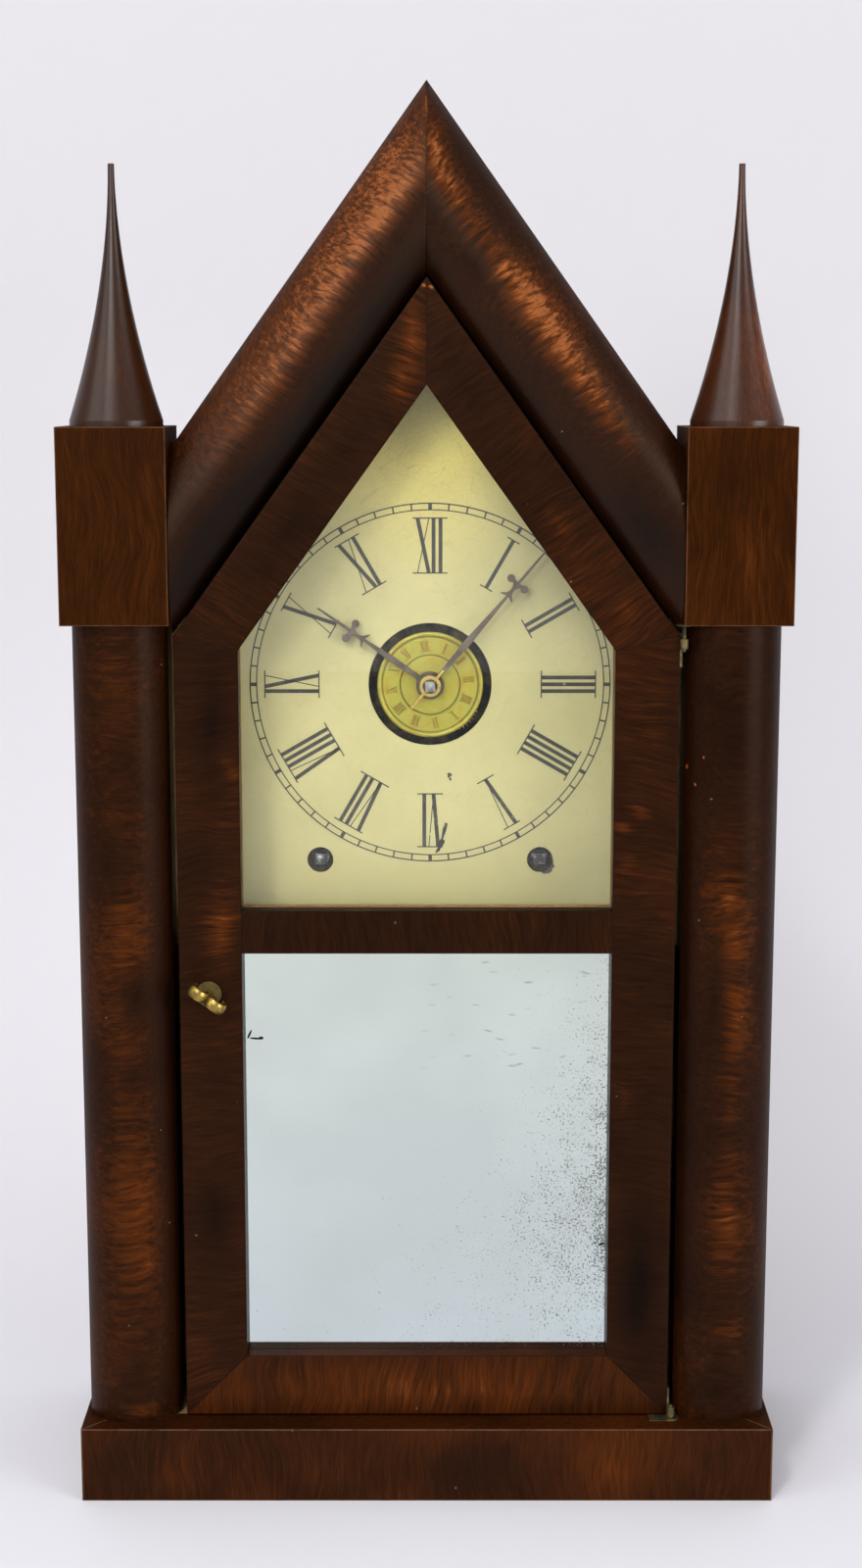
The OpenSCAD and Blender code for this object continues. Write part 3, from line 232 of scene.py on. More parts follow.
edges, into, out = start_group("worn_edge", [("Radius", FLOAT, 0.001)],
                               [("Mask", FLOAT), ("Rounded", VECTOR)])
rounded = add_node(edges, "ShaderNodeBevel", {"Radius": into["Radius"]}, samples=6).outputs[0]
true = surface(edges, "Normal")
alike = add_node(edges, "ShaderNodeVectorMath", {0: rounded, 1: true}, operation="DOT_PRODUCT")
turned = calc(edges, "SUBTRACT", 1.0, alike.outputs["Value"])
patchy = noise(edges, object_place(edges), (RUBBED_PATCHES,) * 3, 3.0, 0.6)
strength = calc(edges, "MULTIPLY", turned, stretch(edges, patchy, 0.35, 0.65, 2.0, 14.0))
join(edges, calc(edges, "MINIMUM", strength, 1.0), out["Mask"])
join(edges, rounded, out["Rounded"])
print("edge group has", len(edges.nodes), "nodes")

# %% [markdown]
# Metal tarnishes in clouds and carries fine scratches and dark spots. One group serves brass and
# steel alike. The fineness is again in waves per millimetre.

# %% Old metal
TARNISH, SCRATCHES, SPOTS = (0.22,) * 3, (0.5, 6.0, 4.0), (1.3,) * 3

tarnish, into, out = start_group(
    "old_metal", [("Position", VECTOR, (0, 0, 0)), ("Seed", FLOAT, 0.0)],
    [("Cloud", FLOAT), ("Scratch", FLOAT), ("Spot", FLOAT)],
)
moved = added(tarnish, into["Position"], scaled(tarnish, into["Seed"], (17.0, 29.0, 5.0)))
lines = noise(tarnish, moved, SCRATCHES, 3.0, 0.7)
spots = noise(tarnish, moved, SPOTS, 2.0, 0.5)
join(tarnish, noise(tarnish, moved, TARNISH, 4.0, 0.6), out["Cloud"])
join(tarnish, stretch(tarnish, lines, 0.35, 0.65), out["Scratch"])
join(tarnish, stretch(tarnish, spots, 0.66, 0.74), out["Spot"])
print("metal group has", len(tarnish.nodes), "nodes")

# %% [markdown]
# ## Finishes
#
# Each material starts from a position in millimetres, turned so that the pattern's X runs along
# the grain. A soft elliptical patch, made with a Gradient Texture, marks one glowing or dark
# place on a board. It is written as x, z, width, height, turn and amount, in millimetres and
# degrees. Its sizes are the radii at which it has faded to nothing.

# %% Helpers that start a material and mark patches
ENDLESS = 1000.0


def start_material(name, turn=(0.0, 0.0, 0.0)):
    material = bpy.data.materials.new(name)
    material.use_nodes = True
    tree = material.node_tree
    shader = tree.nodes["Principled BSDF"]
    angles = [math.radians(a) for a in turn]
    values = {"Vector": object_place(tree), "Rotation": angles, "Scale": (1 / MM,) * 3}
    position = add_node(tree, "ShaderNodeMapping", values).outputs[0]
    return material, tree, shader, position


def patch(tree, place, x, z, wide, high, turn, amount):
    values = {"Vector": place, "Location": (x * MM, 0, z * MM),
              "Rotation": (0, math.radians(turn), 0), "Scale": (wide * MM, ENDLESS, high * MM)}
    inside = add_node(tree, "ShaderNodeMapping", values, vector_type="TEXTURE").outputs[0]
    fade = add_node(tree, "ShaderNodeTexGradient", {0: inside}, gradient_type="QUADRATIC_SPHERE")
    return calc(tree, "MULTIPLY", fade.outputs["Fac"], amount)


def patches(tree, spots):
    place = object_place(tree)
    total = patch(tree, place, *spots[0])
    for spot in spots[1:]:
        total = calc(tree, "ADD", total, patch(tree, place, *spot))
    return total


def set_shader(shader, **values):
    """Feed the shader's inputs by name, with Base_Color for Base Color and so on."""
    for key, value in values.items():
        join(shader.id_data, value, shader.inputs[key.replace("_", " ")])


def set_normal(tree, shader, height, strength, distance, rounded=None):
    """Turn a height into small bumps, on top of rounded edges where they are given."""
    values = {"Strength": strength, "Distance": distance * MM, "Height": height}
    if rounded is not None:
        values["Normal"] = rounded
    join(tree, add_node(tree, "ShaderNodeBump", values).outputs[0], shader.inputs["Normal"])


def see_through(tree, when):
    """Let rays pass wherever the mask is one."""
    clear = add_node(tree, "ShaderNodeBsdfTransparent").outputs[0]
    values = {0: when, 1: tree.nodes["Principled BSDF"].outputs[0], 2: clear}
    both = add_node(tree, "ShaderNodeMixShader", values).outputs[0]
    join(tree, both, tree.nodes["Material Output"].inputs["Surface"])


print("material helpers ready")

# %% [markdown]
# ### Veneered wood
#
# The veneer is cross-banded: its grain runs across each moulding, column and rail. Old shellac
# has gone almost black, and only broad soft places glow orange-brown, where fine streaks across
# the band show up. So the tone is a slow cloud, a little streak and the patches seen on the real
# piece. A positive patch lightens the tone and a negative one makes it nearly black. On the
# rounded columns, mouldings and spires many patches are painted light and shade: a highlight
# where the curve faces the light, and shade on the flanks turned away. The streaks pass through
# the patches too, stronger where a patch is strong.

# %% Tone of the wood
def wood_tone(tree, look, spots, cloud, lift, streak):
    """How light each place is. Cloud and streak are their shares, lift moves the whole piece."""
    tone = calc(tree, "MULTIPLY_ADD", look["Cloud"], cloud, 0.5 - cloud / 2 + lift)
    tone = calc(tree, "MULTIPLY_ADD", calc(tree, "SUBTRACT", look["Streak"], 0.5), streak, tone)
    if spots:
        through = stretch(tree, look["Streak"], 0.3, 0.7, 0.45, 1.55)
        tone = calc(tree, "ADD", tone, calc(tree, "MULTIPLY", patches(tree, spots), through))
    return tone


print("wood tone ready")

# %% [markdown]
# A ramp turns the tone into colour. Fibres and pores darken it, nicks and worn edges cover it.
# Grain is its slope in degrees, seed picks another board and fibre is the fineness. Wear is how
# much the edges show, gloss the roughness of the polish, shine how strongly it reflects and coat
# a clearer layer on top. Old shellac shines weakly, in a warm tint, and least on dusty ledges.

# %% A recipe for all the woods
VENEER = ((0.0045, 0.0016, 0.0008), (0.022, 0.0062, 0.0018), (0.082, 0.0190, 0.0028),
          (0.26, 0.078, 0.020))
TONES = (0.25, 0.50, 0.72, 0.95)
RUBBED, GRIMY, PALE_NICK = (0.12, 0.052, 0.026), (0.012, 0.0045, 0.002), (0.30, 0.24, 0.18)
WARM_SHINE = (1.0, 0.8, 0.62)
DUSTY = 0.15


def wood(name, grain, seed, spots=(), colours=VENEER, fibre=1.0, lift=0.0, streak=0.34,
         cloud=0.34, worn=RUBBED, wear=0.4, gloss=0.32, shine=0.07, coat=0.0):
    material, tree, shader, position = start_material(name, (0, grain, 0))
    look = put_group(tree, figure, {"Position": position, "Seed": seed, "Fibre Width": fibre})
    edge = put_group(tree, edges, {"Radius": 0.8 * MM})
    tone = wood_tone(tree, look, spots, cloud, lift, streak)
    fibres = stretch(tree, look["Fibre"], 0.32, 0.68, 0.66, 1.26)
    fibres = calc(tree, "MULTIPLY", fibres, stretch(tree, look["Pore"], 0.0, 1.0, 1.0, 0.6))
    colour = blend(tree, 1.0, shades(tree, tone, zip(TONES, colours)), fibres, "MULTIPLY")
    colour = blend(tree, calc(tree, "MULTIPLY", look["Nick"], 0.35), colour, PALE_NICK)
    colour = blend(tree, calc(tree, "MULTIPLY", edge["Mask"], wear), colour, worn)
    rough = stretch(tree, look["Fibre"], 0.3, 0.7, gloss - 0.03, gloss + 0.05)
    rough = calc(tree, "ADD", rough, calc(tree, "MULTIPLY", edge["Mask"], 0.15))
    height = calc(tree, "SUBTRACT", calc(tree, "MULTIPLY", look["Fibre"], 0.5), look["Pore"])
    set_normal(tree, shader, height, 0.12, 0.10, edge["Rounded"])
    level = part_of(tree, surface(tree, "Normal"), "Z")
    shining = stretch(tree, level, 0.75, 0.95, shine, shine * DUSTY)
    set_shader(shader, Base_Color=colour, Roughness=rough, Specular_IOR_Level=shining,
               Specular_Tint=rgb(WARM_SHINE), Coat_Weight=coat, Coat_Roughness=0.28, Coat_IOR=1.6)
    return material


def dress(material, *names):
    for name in names:
        nodes[name].data.materials.clear()
        nodes[name].data.materials.append(material)


print("wood recipe ready")

# %% [markdown]
# The grain of the columns is level. The patches paint the light that a half-round column
# catches along its middle as a glow, and paint its flanks dark as shade. Three small nicks show
# light on the right one.

# %% Columns
low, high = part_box("right_column")
column_x = (low.x + high.x) / 2 / MM
# painted highlight along the middle of the left column and painted shade on its flanks, among its own
# lighter and darker places
left_column_painted_light = [
    (-column_x - 1, 190, 15, 240, 0, 0.10), (-column_x + 15, 180, 9, 240, 0, -0.16),
    (-107, 276, 18, 50, 0, -0.08), (-105, 212, 14, 26, 0, 0.12), (-104, 190, 18, 22, 0, -0.24),
    (-112, 238, 14, 34, 0, -0.14), (-106, 160, 20, 14, 0, -0.12), (-104, 112, 17, 44, 0, 0.15),
    (-102, 90, 8, 18, 0, 0.12), (-106, 48, 18, 26, 0, -0.10), (-104, 33, 12, 6, 0, 0.14),
]
# painted highlight along the middle of the right column and painted shade on its flanks; the last three
# patches are light nicks
right_column_painted_light_and_nicks = [
    (column_x + 1, 160, 13, 200, 0, 0.08), (column_x - 15, 200, 7, 200, 0, -0.14),
    (106, 280, 22, 50, 0, -0.14), (117, 240, 8, 90, 0, 0.05), (106, 226, 12, 10, 0, 0.22),
    (110, 212, 15, 22, 12, 0.18), (112, 184, 9, 28, 0, 0.20), (103, 190, 6, 50, 0, -0.10),
    (106, 230, 22, 40, 0, 0.05), (110, 150, 12, 14, 0, 0.08), (110, 108, 17, 38, 0, 0.19),
    (112, 62, 12, 14, 0, 0.12), (106, 40, 16, 14, 0, -0.14), (92.6, 272, 0.6, 1.6, 10, 1.6),
    (95.2, 266, 0.6, 1.3, -20, 1.6), (97.8, 276, 0.5, 1.0, 0, 1.6),
]
dress(wood("veneer_left_column", 2.0, 1.3, left_column_painted_light), "left_column")
dress(wood("veneer_right_column", -3.0, 4.1, right_column_painted_light_and_nicks, lift=-0.03), "right_column")
print("columns dressed at", round(column_x, 1), "mm either side of the middle")

# %% [markdown]
# The gable mouldings slope, and so does their grain. A mapping turns a pattern the other way round
# from a patch, so the left moulding has its grain at minus the slope and its patches at plus. On
# the left one the patches paint a dull sheen of light on the upper flank and shade on the lower
# flank, which faces away from the light. On the right one they paint a streaky band of highlight
# along the middle. Edges are dark with old grime, but the upper end of the mitre is worn light.

# %% Gable mouldings
SLOPE = 35.8  # degrees from upright
# painted sheen on the upper flank, painted orange highlight along the middle and painted shade on the
# lower flank; the last patch is the worn mitre
left_gable_painted_light_and_wear = [
    (-12, 482, 18, 60, SLOPE, 0.34), (-36, 446, 18, 80, SLOPE, 0.24), (-64, 408, 17, 76, SLOPE, 0.16),
    (-12, 468, 10, 44, SLOPE, 0.28), (-27, 446, 10, 50, SLOPE, 0.24), (-46, 419, 11, 54, SLOPE, 0.20),
    (-60, 398, 10, 50, SLOPE, 0.12), (-30, 410, 15, 150, SLOPE, -0.24), (-70, 356, 20, 70, SLOPE, -0.36),
    (0, 499, 0.7, 9, 0, 0.55),
]
# painted highlight along the middle and painted shade lower down; the last patch is the worn mitre
right_gable_painted_light_and_wear = [
    (3, 485, 9, 28, -12, 0.34), (8, 473, 11, 26, -SLOPE, 0.26), (14, 462, 11, 20, -SLOPE, 0.14),
    (27, 444, 10, 32, -SLOPE, 0.22), (39, 431, 14, 50, -SLOPE, 0.42), (50, 414, 11, 46, -SLOPE, 0.25),
    (60, 399, 9, 38, -SLOPE, 0.20), (17, 446, 9, 12, -SLOPE, -0.14), (56, 438, 13, 130, -SLOPE, 0.16),
    (30, 398, 14, 150, -SLOPE, -0.20), (76, 356, 22, 60, -SLOPE, -0.26), (0, 499, 0.7, 9, 0, 0.5),
]
gable_look = {"lift": -0.05, "fibre": 1.5, "cloud": 0.26, "worn": GRIMY}
dress(wood("veneer_left_gable", -SLOPE, 2.2, left_gable_painted_light_and_wear, shine=0.15, gloss=0.40, **gable_look),
      "left_gable_moulding")
dress(wood("veneer_right_gable", SLOPE, 5.4, right_gable_painted_light_and_wear, shine=0.16, **gable_look),
      "right_gable_moulding")
print("gable dressed")

# %% [markdown]
# The door's stiles have level grain, its rakes grain nearly across their slope, and its rails
# upright grain. A tiny light nick lies beside the knob, and both rakes are rubbed at the peak.

# %% Door frame
UPRIGHT = 90.0  # slope of the grain in degrees
left_stile_glow = [
    (-76, 286, 16, 44, 0, -0.22), (-70, 272, 7, 16, -30, 0.14), (-74, 212, 12, 26, 0, 0.30),
    (-76, 160, 14, 40, 0, -0.06), (-78, 104, 16, 36, 0, -0.17), (-76, 60, 12, 26, 0, -0.02),
    (-78.2, 186, 0.9, 0.9, 0, 3.0),
]
right_stile_glow = [
    (76, 256, 8, 5, 24, 0.26), (70, 250, 7, 4, 4, 0.26), (80, 284, 12, 20, 0, 0.06),
    (72, 236, 8, 10, 0, 0.08), (78, 190, 12, 26, 0, -0.02), (72, 148, 7, 20, 0, 0.08),
    (78, 78, 18, 80, 0, -0.28),
]
left_rake_glow = [
    (-1.0, 439.4, 1.8, 1.2, 20, 0.9), (-5, 424, 7, 26, 0, 0.24), (-9, 407, 8, 18, 0, 0.24),
    (-28, 384, 14, 30, SLOPE, -0.14), (-48, 356, 14, 44, SLOPE, -0.14),
]
right_rake_glow = [
    (1.6, 438.8, 1.8, 1.1, 30, 0.9), (14, 405, 14, 34, -SLOPE, -0.08),
    (46, 358, 8, 12, -SLOPE, 0.14), (70, 328, 8, 12, -SLOPE, 0.08),
]
frame_look = {"gloss": 0.34, "fibre": 1.4, "lift": -0.03, "wear": 0.6, "worn": GRIMY}
bottom_look = {**frame_look, "lift": 0.06, "streak": 0.24}
dress(wood("veneer_left_stile", 6.0, 6.6, left_stile_glow, **frame_look), "left_door_stile")
dress(wood("veneer_right_stile", -7.0, 7.9, right_stile_glow, **frame_look), "right_door_stile")
dress(wood("veneer_left_rake", 4 - SLOPE, 3.3, left_rake_glow, **frame_look), "left_door_rake")
dress(wood("veneer_right_rake", SLOPE - 4, 8.8, right_rake_glow, **frame_look), "right_door_rake")
dress(wood("veneer_mid_rail", UPRIGHT, 9.4, **frame_look), "door_mid_rail")
dress(wood("veneer_bottom_rail", 84.0, 2.9, [(10, 38, 110, 16, 0, 0.14)], **bottom_look),
      "door_bottom_rail")
print("door frame dressed")

# %% [markdown]
# Base, blocks, spires and case boards have upright grain. The blocks and the left spire are
# browner than the veneer. The blocks are dull and rubbed pale along their corners, while the
# spires carry a coat of polish that catches the light.

# %% Base, blocks, spires and case boards
BROWN = ((0.008, 0.0024, 0.0005), (0.029, 0.0072, 0.0008), (0.076, 0.0190, 0.0024),
         (0.19, 0.058, 0.011))
base_glow = [
    (-40, 12, 20, 16, 0, 0.07), (-92, 10, 22, 14, 0, 0.05), (14, 12, 26, 18, 0, -0.12),
    (70, 12, 22, 16, 0, 0.07),
]
left_block_glow = [(-96, 352, 6, 70, 0, 0.06)]
right_block_glow = [(113, 345, 12, 30, 0, 0.16), (104, 372, 12, 20, 0, -0.12)]
# painted light on the right flank of the right spire, where light from the right falls
right_spire_painted_light = [(118, 420, 12, 60, 0, 0.26)]
base_look = {"lift": 0.05, "streak": 0.15, "gloss": 0.42, "worn": (0.20, 0.11, 0.06), "wear": 0.8}
block_look = {"colours": BROWN, "gloss": 0.44, "shine": 0.04, "fibre": 1.5, "streak": 0.26,
              "worn": (0.21, 0.095, 0.045), "wear": 0.7}
spire_look = {"shine": 0.06, "coat": 0.5, "fibre": 1.6, "streak": 0.22}
dress(wood("veneer_base", UPRIGHT, 1.7, base_glow, **base_look), "base_front_board",
      "base_left_return", "base_right_return")
dress(wood("wood_left_block", UPRIGHT, 3.7, left_block_glow, cloud=0.2, **block_look),
      "left_capital_block")
dress(wood("wood_right_block", UPRIGHT, 6.1, right_block_glow, cloud=0.3, **block_look),
      "right_capital_block")
dress(wood("turned_left_spire", UPRIGHT, 4.6, colours=BROWN, lift=-0.03, gloss=0.42,
           **spire_look), "left_spire")
dress(wood("turned_right_spire", UPRIGHT, 7.2, right_spire_painted_light, lift=0.08, gloss=0.40,
           **spire_look), "right_spire")
dress(wood("veneer_case_sides", UPRIGHT, 5.9, lift=0.02, gloss=0.46), "left_side_board",
      "right_side_board", "left_roof_board", "right_roof_board")
print("case dressed")

# %% [markdown]
# ### Bare pine
#
# The back board, floor, dial rails, glazing beads and mirror panel are bare pine, browned by age.
# The same figure group serves, with pale colours and no polish.

# %% Pine
PINE = ((0.14, 0.068, 0.026), (0.26, 0.150, 0.068), (0.36, 0.23, 0.115), (0.44, 0.31, 0.17))
pine = wood("aged_pine", UPRIGHT, 8.3, colours=PINE, worn=(0.40, 0.29, 0.18), gloss=0.72, fibre=0.7)
dress(pine, "back_board", "floor_board", "dial_rails", "mirror_panel", "glazing_beads")
print("pine dressed")

# %% [markdown]
# ### Painted dial
#
# The dial is tinned iron in cream oil paint. Its colour is painted lighter and yellower at the
# top as light, and darker olive at the foot as shade. A net of hair cracks runs through it, brown
# specks dot it, and round the right winding hole it has chipped off down to dark metal.

# %% How the dial has aged, with painted light and shade
# the yellow colour is painted light at the top of the dial
CREAM, PAINTED_LIGHT_YELLOW, OLIVE = (0.458, 0.419, 0.199), (0.83, 0.695, 0.178), (0.310, 0.286, 0.112)
STAIN, CRACK, BARE = (0.46, 0.36, 0.12), (0.33, 0.27, 0.12), (0.05, 0.052, 0.045)
# the top patch places the painted light, and the foot patch paints shade in olive
PAINTED_LIGHT_TOP, PAINTED_SHADE_FOOT = (0, 410, 70, 90, 0, 1.0), (0, 190, 200, 84, 0, 1.0)
STAINED = [(-39.4, 230, 13, 11, 0, 0.8), (41.8, 230, 13, 11, 0, 1.0), (-32, 350, 6, 6, 0, 0.4)]
CHIPPED = [(42.4, 232.0, 9.4, 9.2, 0, 1.0), (44.8, 229.6, 4.5, 4.5, 0, 0.4)]


def aged_cream_with_painted_light(tree, cloudy):
    colour = blend(tree, stretch(tree, cloudy, 0.35, 0.7, 0.0, 0.35), CREAM, OLIVE)
    # painted light: lighter and yellower towards the top
    top = stretch(tree, patches(tree, [PAINTED_LIGHT_TOP]), 0.0, 0.4)
    colour = blend(tree, top, colour, PAINTED_LIGHT_YELLOW)
    # painted shade: darker olive towards the foot
    foot = stretch(tree, patches(tree, [PAINTED_SHADE_FOOT]), 0.0, 0.6, 0.0, 0.85)
    return blend(tree, foot, colour, OLIVE)


def cracked(tree, position, colour):
    """Cracks follow the borders of crooked cells, in a wide net and a narrow one."""
    wander = noise(tree, position, (0.09,) * 3, 2.0)
    crooked = added(tree, scaled(tree, position, (0.11, 0.0, 0.16)),
                    scaled(tree, wander, (1.2, 0.0, 1.2)))
    for fineness in (1.0, 2.4):
        border = cell_distance(tree, crooked, fineness, "DISTANCE_TO_EDGE")
        crack = stretch(tree, border, 0.004, 0.016 * fineness, 0.22, 0.0)
        colour = blend(tree, crack, colour, CRACK)
    return colour


def specked(tree, position, cloudy, colour):
    speck = cell_distance(tree, scaled(tree, position, (0.12, 0, 0.12)))
    colour = blend(tree, stretch(tree, speck, 0.035, 0.06, 0.8, 0.0), colour, STAIN)
    uneven = stretch(tree, cloudy, 0.4, 0.6, 0.2, 0.8)
    stained = calc(tree, "MULTIPLY", patches(tree, STAINED), uneven)
    return blend(tree, stained, colour, STAIN)


print("dial ageing ready")

# %% Dial paint
dial_paint, tree, shader, position = start_material("dial_paint")
cloudy = noise(tree, position, (0.03,) * 3, 4.0, 0.6)
ragged = noise(tree, position, (0.55,) * 3, 3.0, 0.6)
colour = cracked(tree, position, aged_cream_with_painted_light(tree, cloudy))
colour = specked(tree, position, cloudy, colour)
chipped = calc(tree, "MULTIPLY_ADD", ragged, 0.55, patches(tree, CHIPPED))
colour = blend(tree, stretch(tree, chipped, 0.58, 0.61), colour, BARE)
set_shader(shader, Base_Color=colour, Roughness=stretch(tree, ragged, 0.3, 0.7, 0.36, 0.5),
           Specular_IOR_Level=0.4)
set_normal(tree, shader, ragged, 0.3, 0.05)
dress(dial_paint, "dial_plate")
print("dial painted")

# %% [markdown]
# The black paint of the numerals is thin. It has worn to grey, and in a few places the cream
# shows through, most of all at five and six.

# %% Numeral paint
LAMPBLACK, WORN_GREY = (0.012, 0.012, 0.008), (0.042, 0.040, 0.026)
FLAKED = [(4, 245, 12, 14, 0, 0.20), (28, 250, 14, 12, 0, 0.16), (-40, 280, 10, 8, 0, 0.14)]

numeral_paint, tree, shader, position = start_material("numeral_paint")
thin = noise(tree, position, (0.35,) * 3, 4.0, 0.65)
black = blend(tree, stretch(tree, thin, 0.35, 0.7), LAMPBLACK, WORN_GREY)
flaked = stretch(tree, calc(tree, "ADD", thin, patches(tree, FLAKED)), 0.715, 0.755)
set_shader(shader, Base_Color=blend(tree, flaked, black, CREAM),
           Roughness=stretch(tree, thin, 0.3, 0.7, 0.45, 0.6))
print("numeral paint mixed")

# %% [markdown]
# ### Brass and steel
#
# One recipe makes all the metals. It takes the clean colour and the dull one, a seed, the share
# that has gone dull, the roughness and how metallic the surface still is. Patches named bright
# are rubbed clean on the hinges, and on the ends of the steel arbors they paint glints of light.
# Other patches paint dark shade where a part lies in shadow. Grooves are turned lines, given by
# their radii about the middle of the dial, and are painted darker.

# %% A recipe for the metals
# the first colour is painted shade, the second darkens turned grooves, the third is for tarnish spots
PAINTED_SHADE_DARK, GROOVE_DARK, SPOT = (0.022, 0.022, 0.016), (0.10, 0.075, 0.012), (0.05, 0.04, 0.02)


def dial_radius(tree):
    """How far a point is from the middle of the dial, in millimetres."""
    values = {"Vector": object_place(tree), "Location": (-dial_centre_x, 0, -dial_centre_z)}
    centred = add_node(tree, "ShaderNodeMapping", values).outputs[0]
    flat = scaled(tree, centred, (1 / MM, 0.0, 1 / MM))
    return add_node(tree, "ShaderNodeVectorMath", {0: flat}, operation="LENGTH").outputs["Value"]


def turned_lines(tree, radii, colour, height):
    radius = dial_radius(tree)
    for at in radii:
        away = calc(tree, "ABSOLUTE", calc(tree, "SUBTRACT", radius, at))
        line = stretch(tree, away, 0.12, 0.34, 1.0, 0.0)
        colour = blend(tree, calc(tree, "MULTIPLY", line, 0.75), colour, GROOVE_DARK)
        height = calc(tree, "MULTIPLY_ADD", line, -1.5, height)
    return colour, height


def metal(name, clean, dull, seed, share, rough, metallic=1.0, spot=SPOT, grooves=(), bright=(),
          painted_shade=()):
    material, tree, shader, position = start_material(name)
    look = put_group(tree, tarnish, {"Position": position, "Seed": seed})
    edge = put_group(tree, edges, {"Radius": 0.25 * MM})
    cover = stretch(tree, look["Cloud"], 0.62 - 0.4 * share, 0.80 - 0.3 * share)
    colour = blend(tree, cover, clean, dull)
    colour = blend(tree, calc(tree, "MULTIPLY", look["Spot"], 0.6), colour, spot)
    colour = blend(tree, calc(tree, "MULTIPLY", edge["Mask"], 0.35), colour, clean)
    # places rubbed clean, and painted glints of light
    if bright:
        brightened = calc(tree, "MINIMUM", patches(tree, bright), 1.0)
        colour = blend(tree, brightened, colour, clean)
    # painted shade where a part lies in shadow
    if painted_shade:
        shade_mask = calc(tree, "MULTIPLY", stretch(tree, look["Cloud"], 0.35, 0.60, 0.80, 1.0),
                    calc(tree, "MINIMUM", patches(tree, painted_shade), 1.0))
        colour = blend(tree, shade_mask, colour, PAINTED_SHADE_DARK)
    height = calc(tree, "MULTIPLY_ADD", look["Scratch"], 0.4, look["Cloud"])
    if grooves:
        colour, height = turned_lines(tree, grooves, colour, height)
    uneven = calc(tree, "MULTIPLY_ADD", cover, 0.22, rough - 0.05)
    uneven = calc(tree, "MULTIPLY_ADD", look["Scratch"], 0.08, uneven)
    set_shader(shader, Base_Color=colour, Roughness=uneven, Metallic=metallic)
    set_normal(tree, shader, height, 0.22, 0.06, edge["Rounded"])
    return material


print("metal recipe ready")

# %% Brass
disc_brass = metal("disc_brass", (0.35, 0.318, 0.048), (0.34, 0.262, 0.028), 1.0, 0.4, 0.40, 0.5,
                   spot=(0.30, 0.22, 0.05), grooves=(17.5, 10.9))
number_brass = metal("number_brass", (0.30, 0.20, 0.03), (0.20, 0.13, 0.02), 1.6, 0.5, 0.30, 0.7)
knob_brass = metal("knob_brass", (0.44, 0.31, 0.075), (0.20, 0.135, 0.035), 3.0, 0.6, 0.25)
dull_brass = metal("dull_brass", (0.17, 0.13, 0.045), (0.085, 0.066, 0.022), 2.0, 0.6, 0.45, 0.8)
hinge_ends = [(90.2, 29, 2.2, 4, 0, 2.0), (93.0, 318.5, 2.2, 4, 0, 2.0)]
hinge_brass = metal("hinge_brass", (0.21, 0.165, 0.065), (0.045, 0.040, 0.020), 2.7, 0.75, 0.42, 0.8,
                    bright=hinge_ends)
bright_brass = metal("bright_brass", (0.66, 0.50, 0.16), (0.45, 0.32, 0.10), 3.3, 0.4, 0.28)
movement_brass = metal("movement_brass", (0.62, 0.48, 0.20), (0.31, 0.22, 0.09), 4.0, 0.6, 0.38)
# painted shade on the front plate behind the dial hole and the winding holes, where it lies in shadow
shade_behind_dial = [(0, 298, 62, 62, 0, 4.0), (-40, 232, 24, 24, 0, 4.0), (42, 232, 24, 24, 0, 4.0)]
plate_brass = metal("plate_brass", (0.58, 0.45, 0.19), (0.31, 0.22, 0.09), 4.4, 0.6, 0.38,
                    painted_shade=shade_behind_dial)
dress(disc_brass, "alarm_disc")
dress(dull_brass, "knob_escutcheon")
dress(hinge_brass, "door_hinge_leaves", "case_hinge_leaves")
dress(knob_brass, "door_turn_knob")
dress(plate_brass, "front_plate")
dress(movement_brass, "back_plate", "going_great_wheel", "going_second_wheel", "centre_wheel",
      "third_wheel", "escape_wheel", "strike_great_wheel", "strike_second_wheel",
      "strike_third_wheel", "fly", "minute_wheel", "hour_wheel", "pendulum_bob")
print("brass dressed")

# %% Steel and iron
low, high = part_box("strike_winding_arbor")
winding_x = abs(low.x + high.x) / 2 / MM
winding_z = (low.z + high.z) / 2 / MM
# painted highlight on the tip of the centre arbor
tip_light = [(dial_centre_x / MM, dial_centre_z / MM + 0.7, 0.9, 1.0, 0, 1.0)]
# painted glints on the ends of the winding arbors
glints = [(side * winding_x - 0.2, winding_z + 0.8, 1.9, 1.4, 0, 1.3) for side in (-1, 1)]
steel = metal("bright_steel", (0.56, 0.56, 0.57), (0.33, 0.32, 0.31), 5.0, 0.5, 0.3)
grey_steel = metal("grey_steel", (0.46, 0.46, 0.44), (0.12, 0.112, 0.10), 5.2, 0.9, 0.4, 0.7,
                   bright=tip_light)
dark_steel = metal("dark_steel", (0.62, 0.64, 0.62), (0.050, 0.050, 0.044), 5.5, 1.0, 0.34, 0.7,
                   bright=glints)
hand_steel = metal("browned_steel", (0.112, 0.088, 0.066), (0.066, 0.051, 0.037), 6.0, 0.5, 0.5, 0.5)
gong_steel = metal("blued_steel", (0.07, 0.075, 0.095), (0.11, 0.075, 0.055), 7.0, 0.5, 0.36, 0.8)
cast_iron = metal("cast_iron", (0.055, 0.055, 0.06), (0.09, 0.06, 0.045), 8.0, 0.5, 0.62, 0.6)
dress(steel, "movement_feet", "mainsprings", "verge", "pendulum_rod", "strike_hammer")
dress(grey_steel, "centre_arbor")
dress(dark_steel, "going_winding_arbor", "strike_winding_arbor")
dress(hand_steel, "minute_hand", "hour_hand")
dress(gong_steel, "gong_coil")
dress(cast_iron, "gong_stand")
print("steel and iron dressed")

# %% [markdown]
# ### Clear glass and looking glass
#
# The pane over the dial is plain glass, smeared a little. A Transparent shader stands in for it
# when a ray on its way to a lamp asks, so that the dial behind is lit.

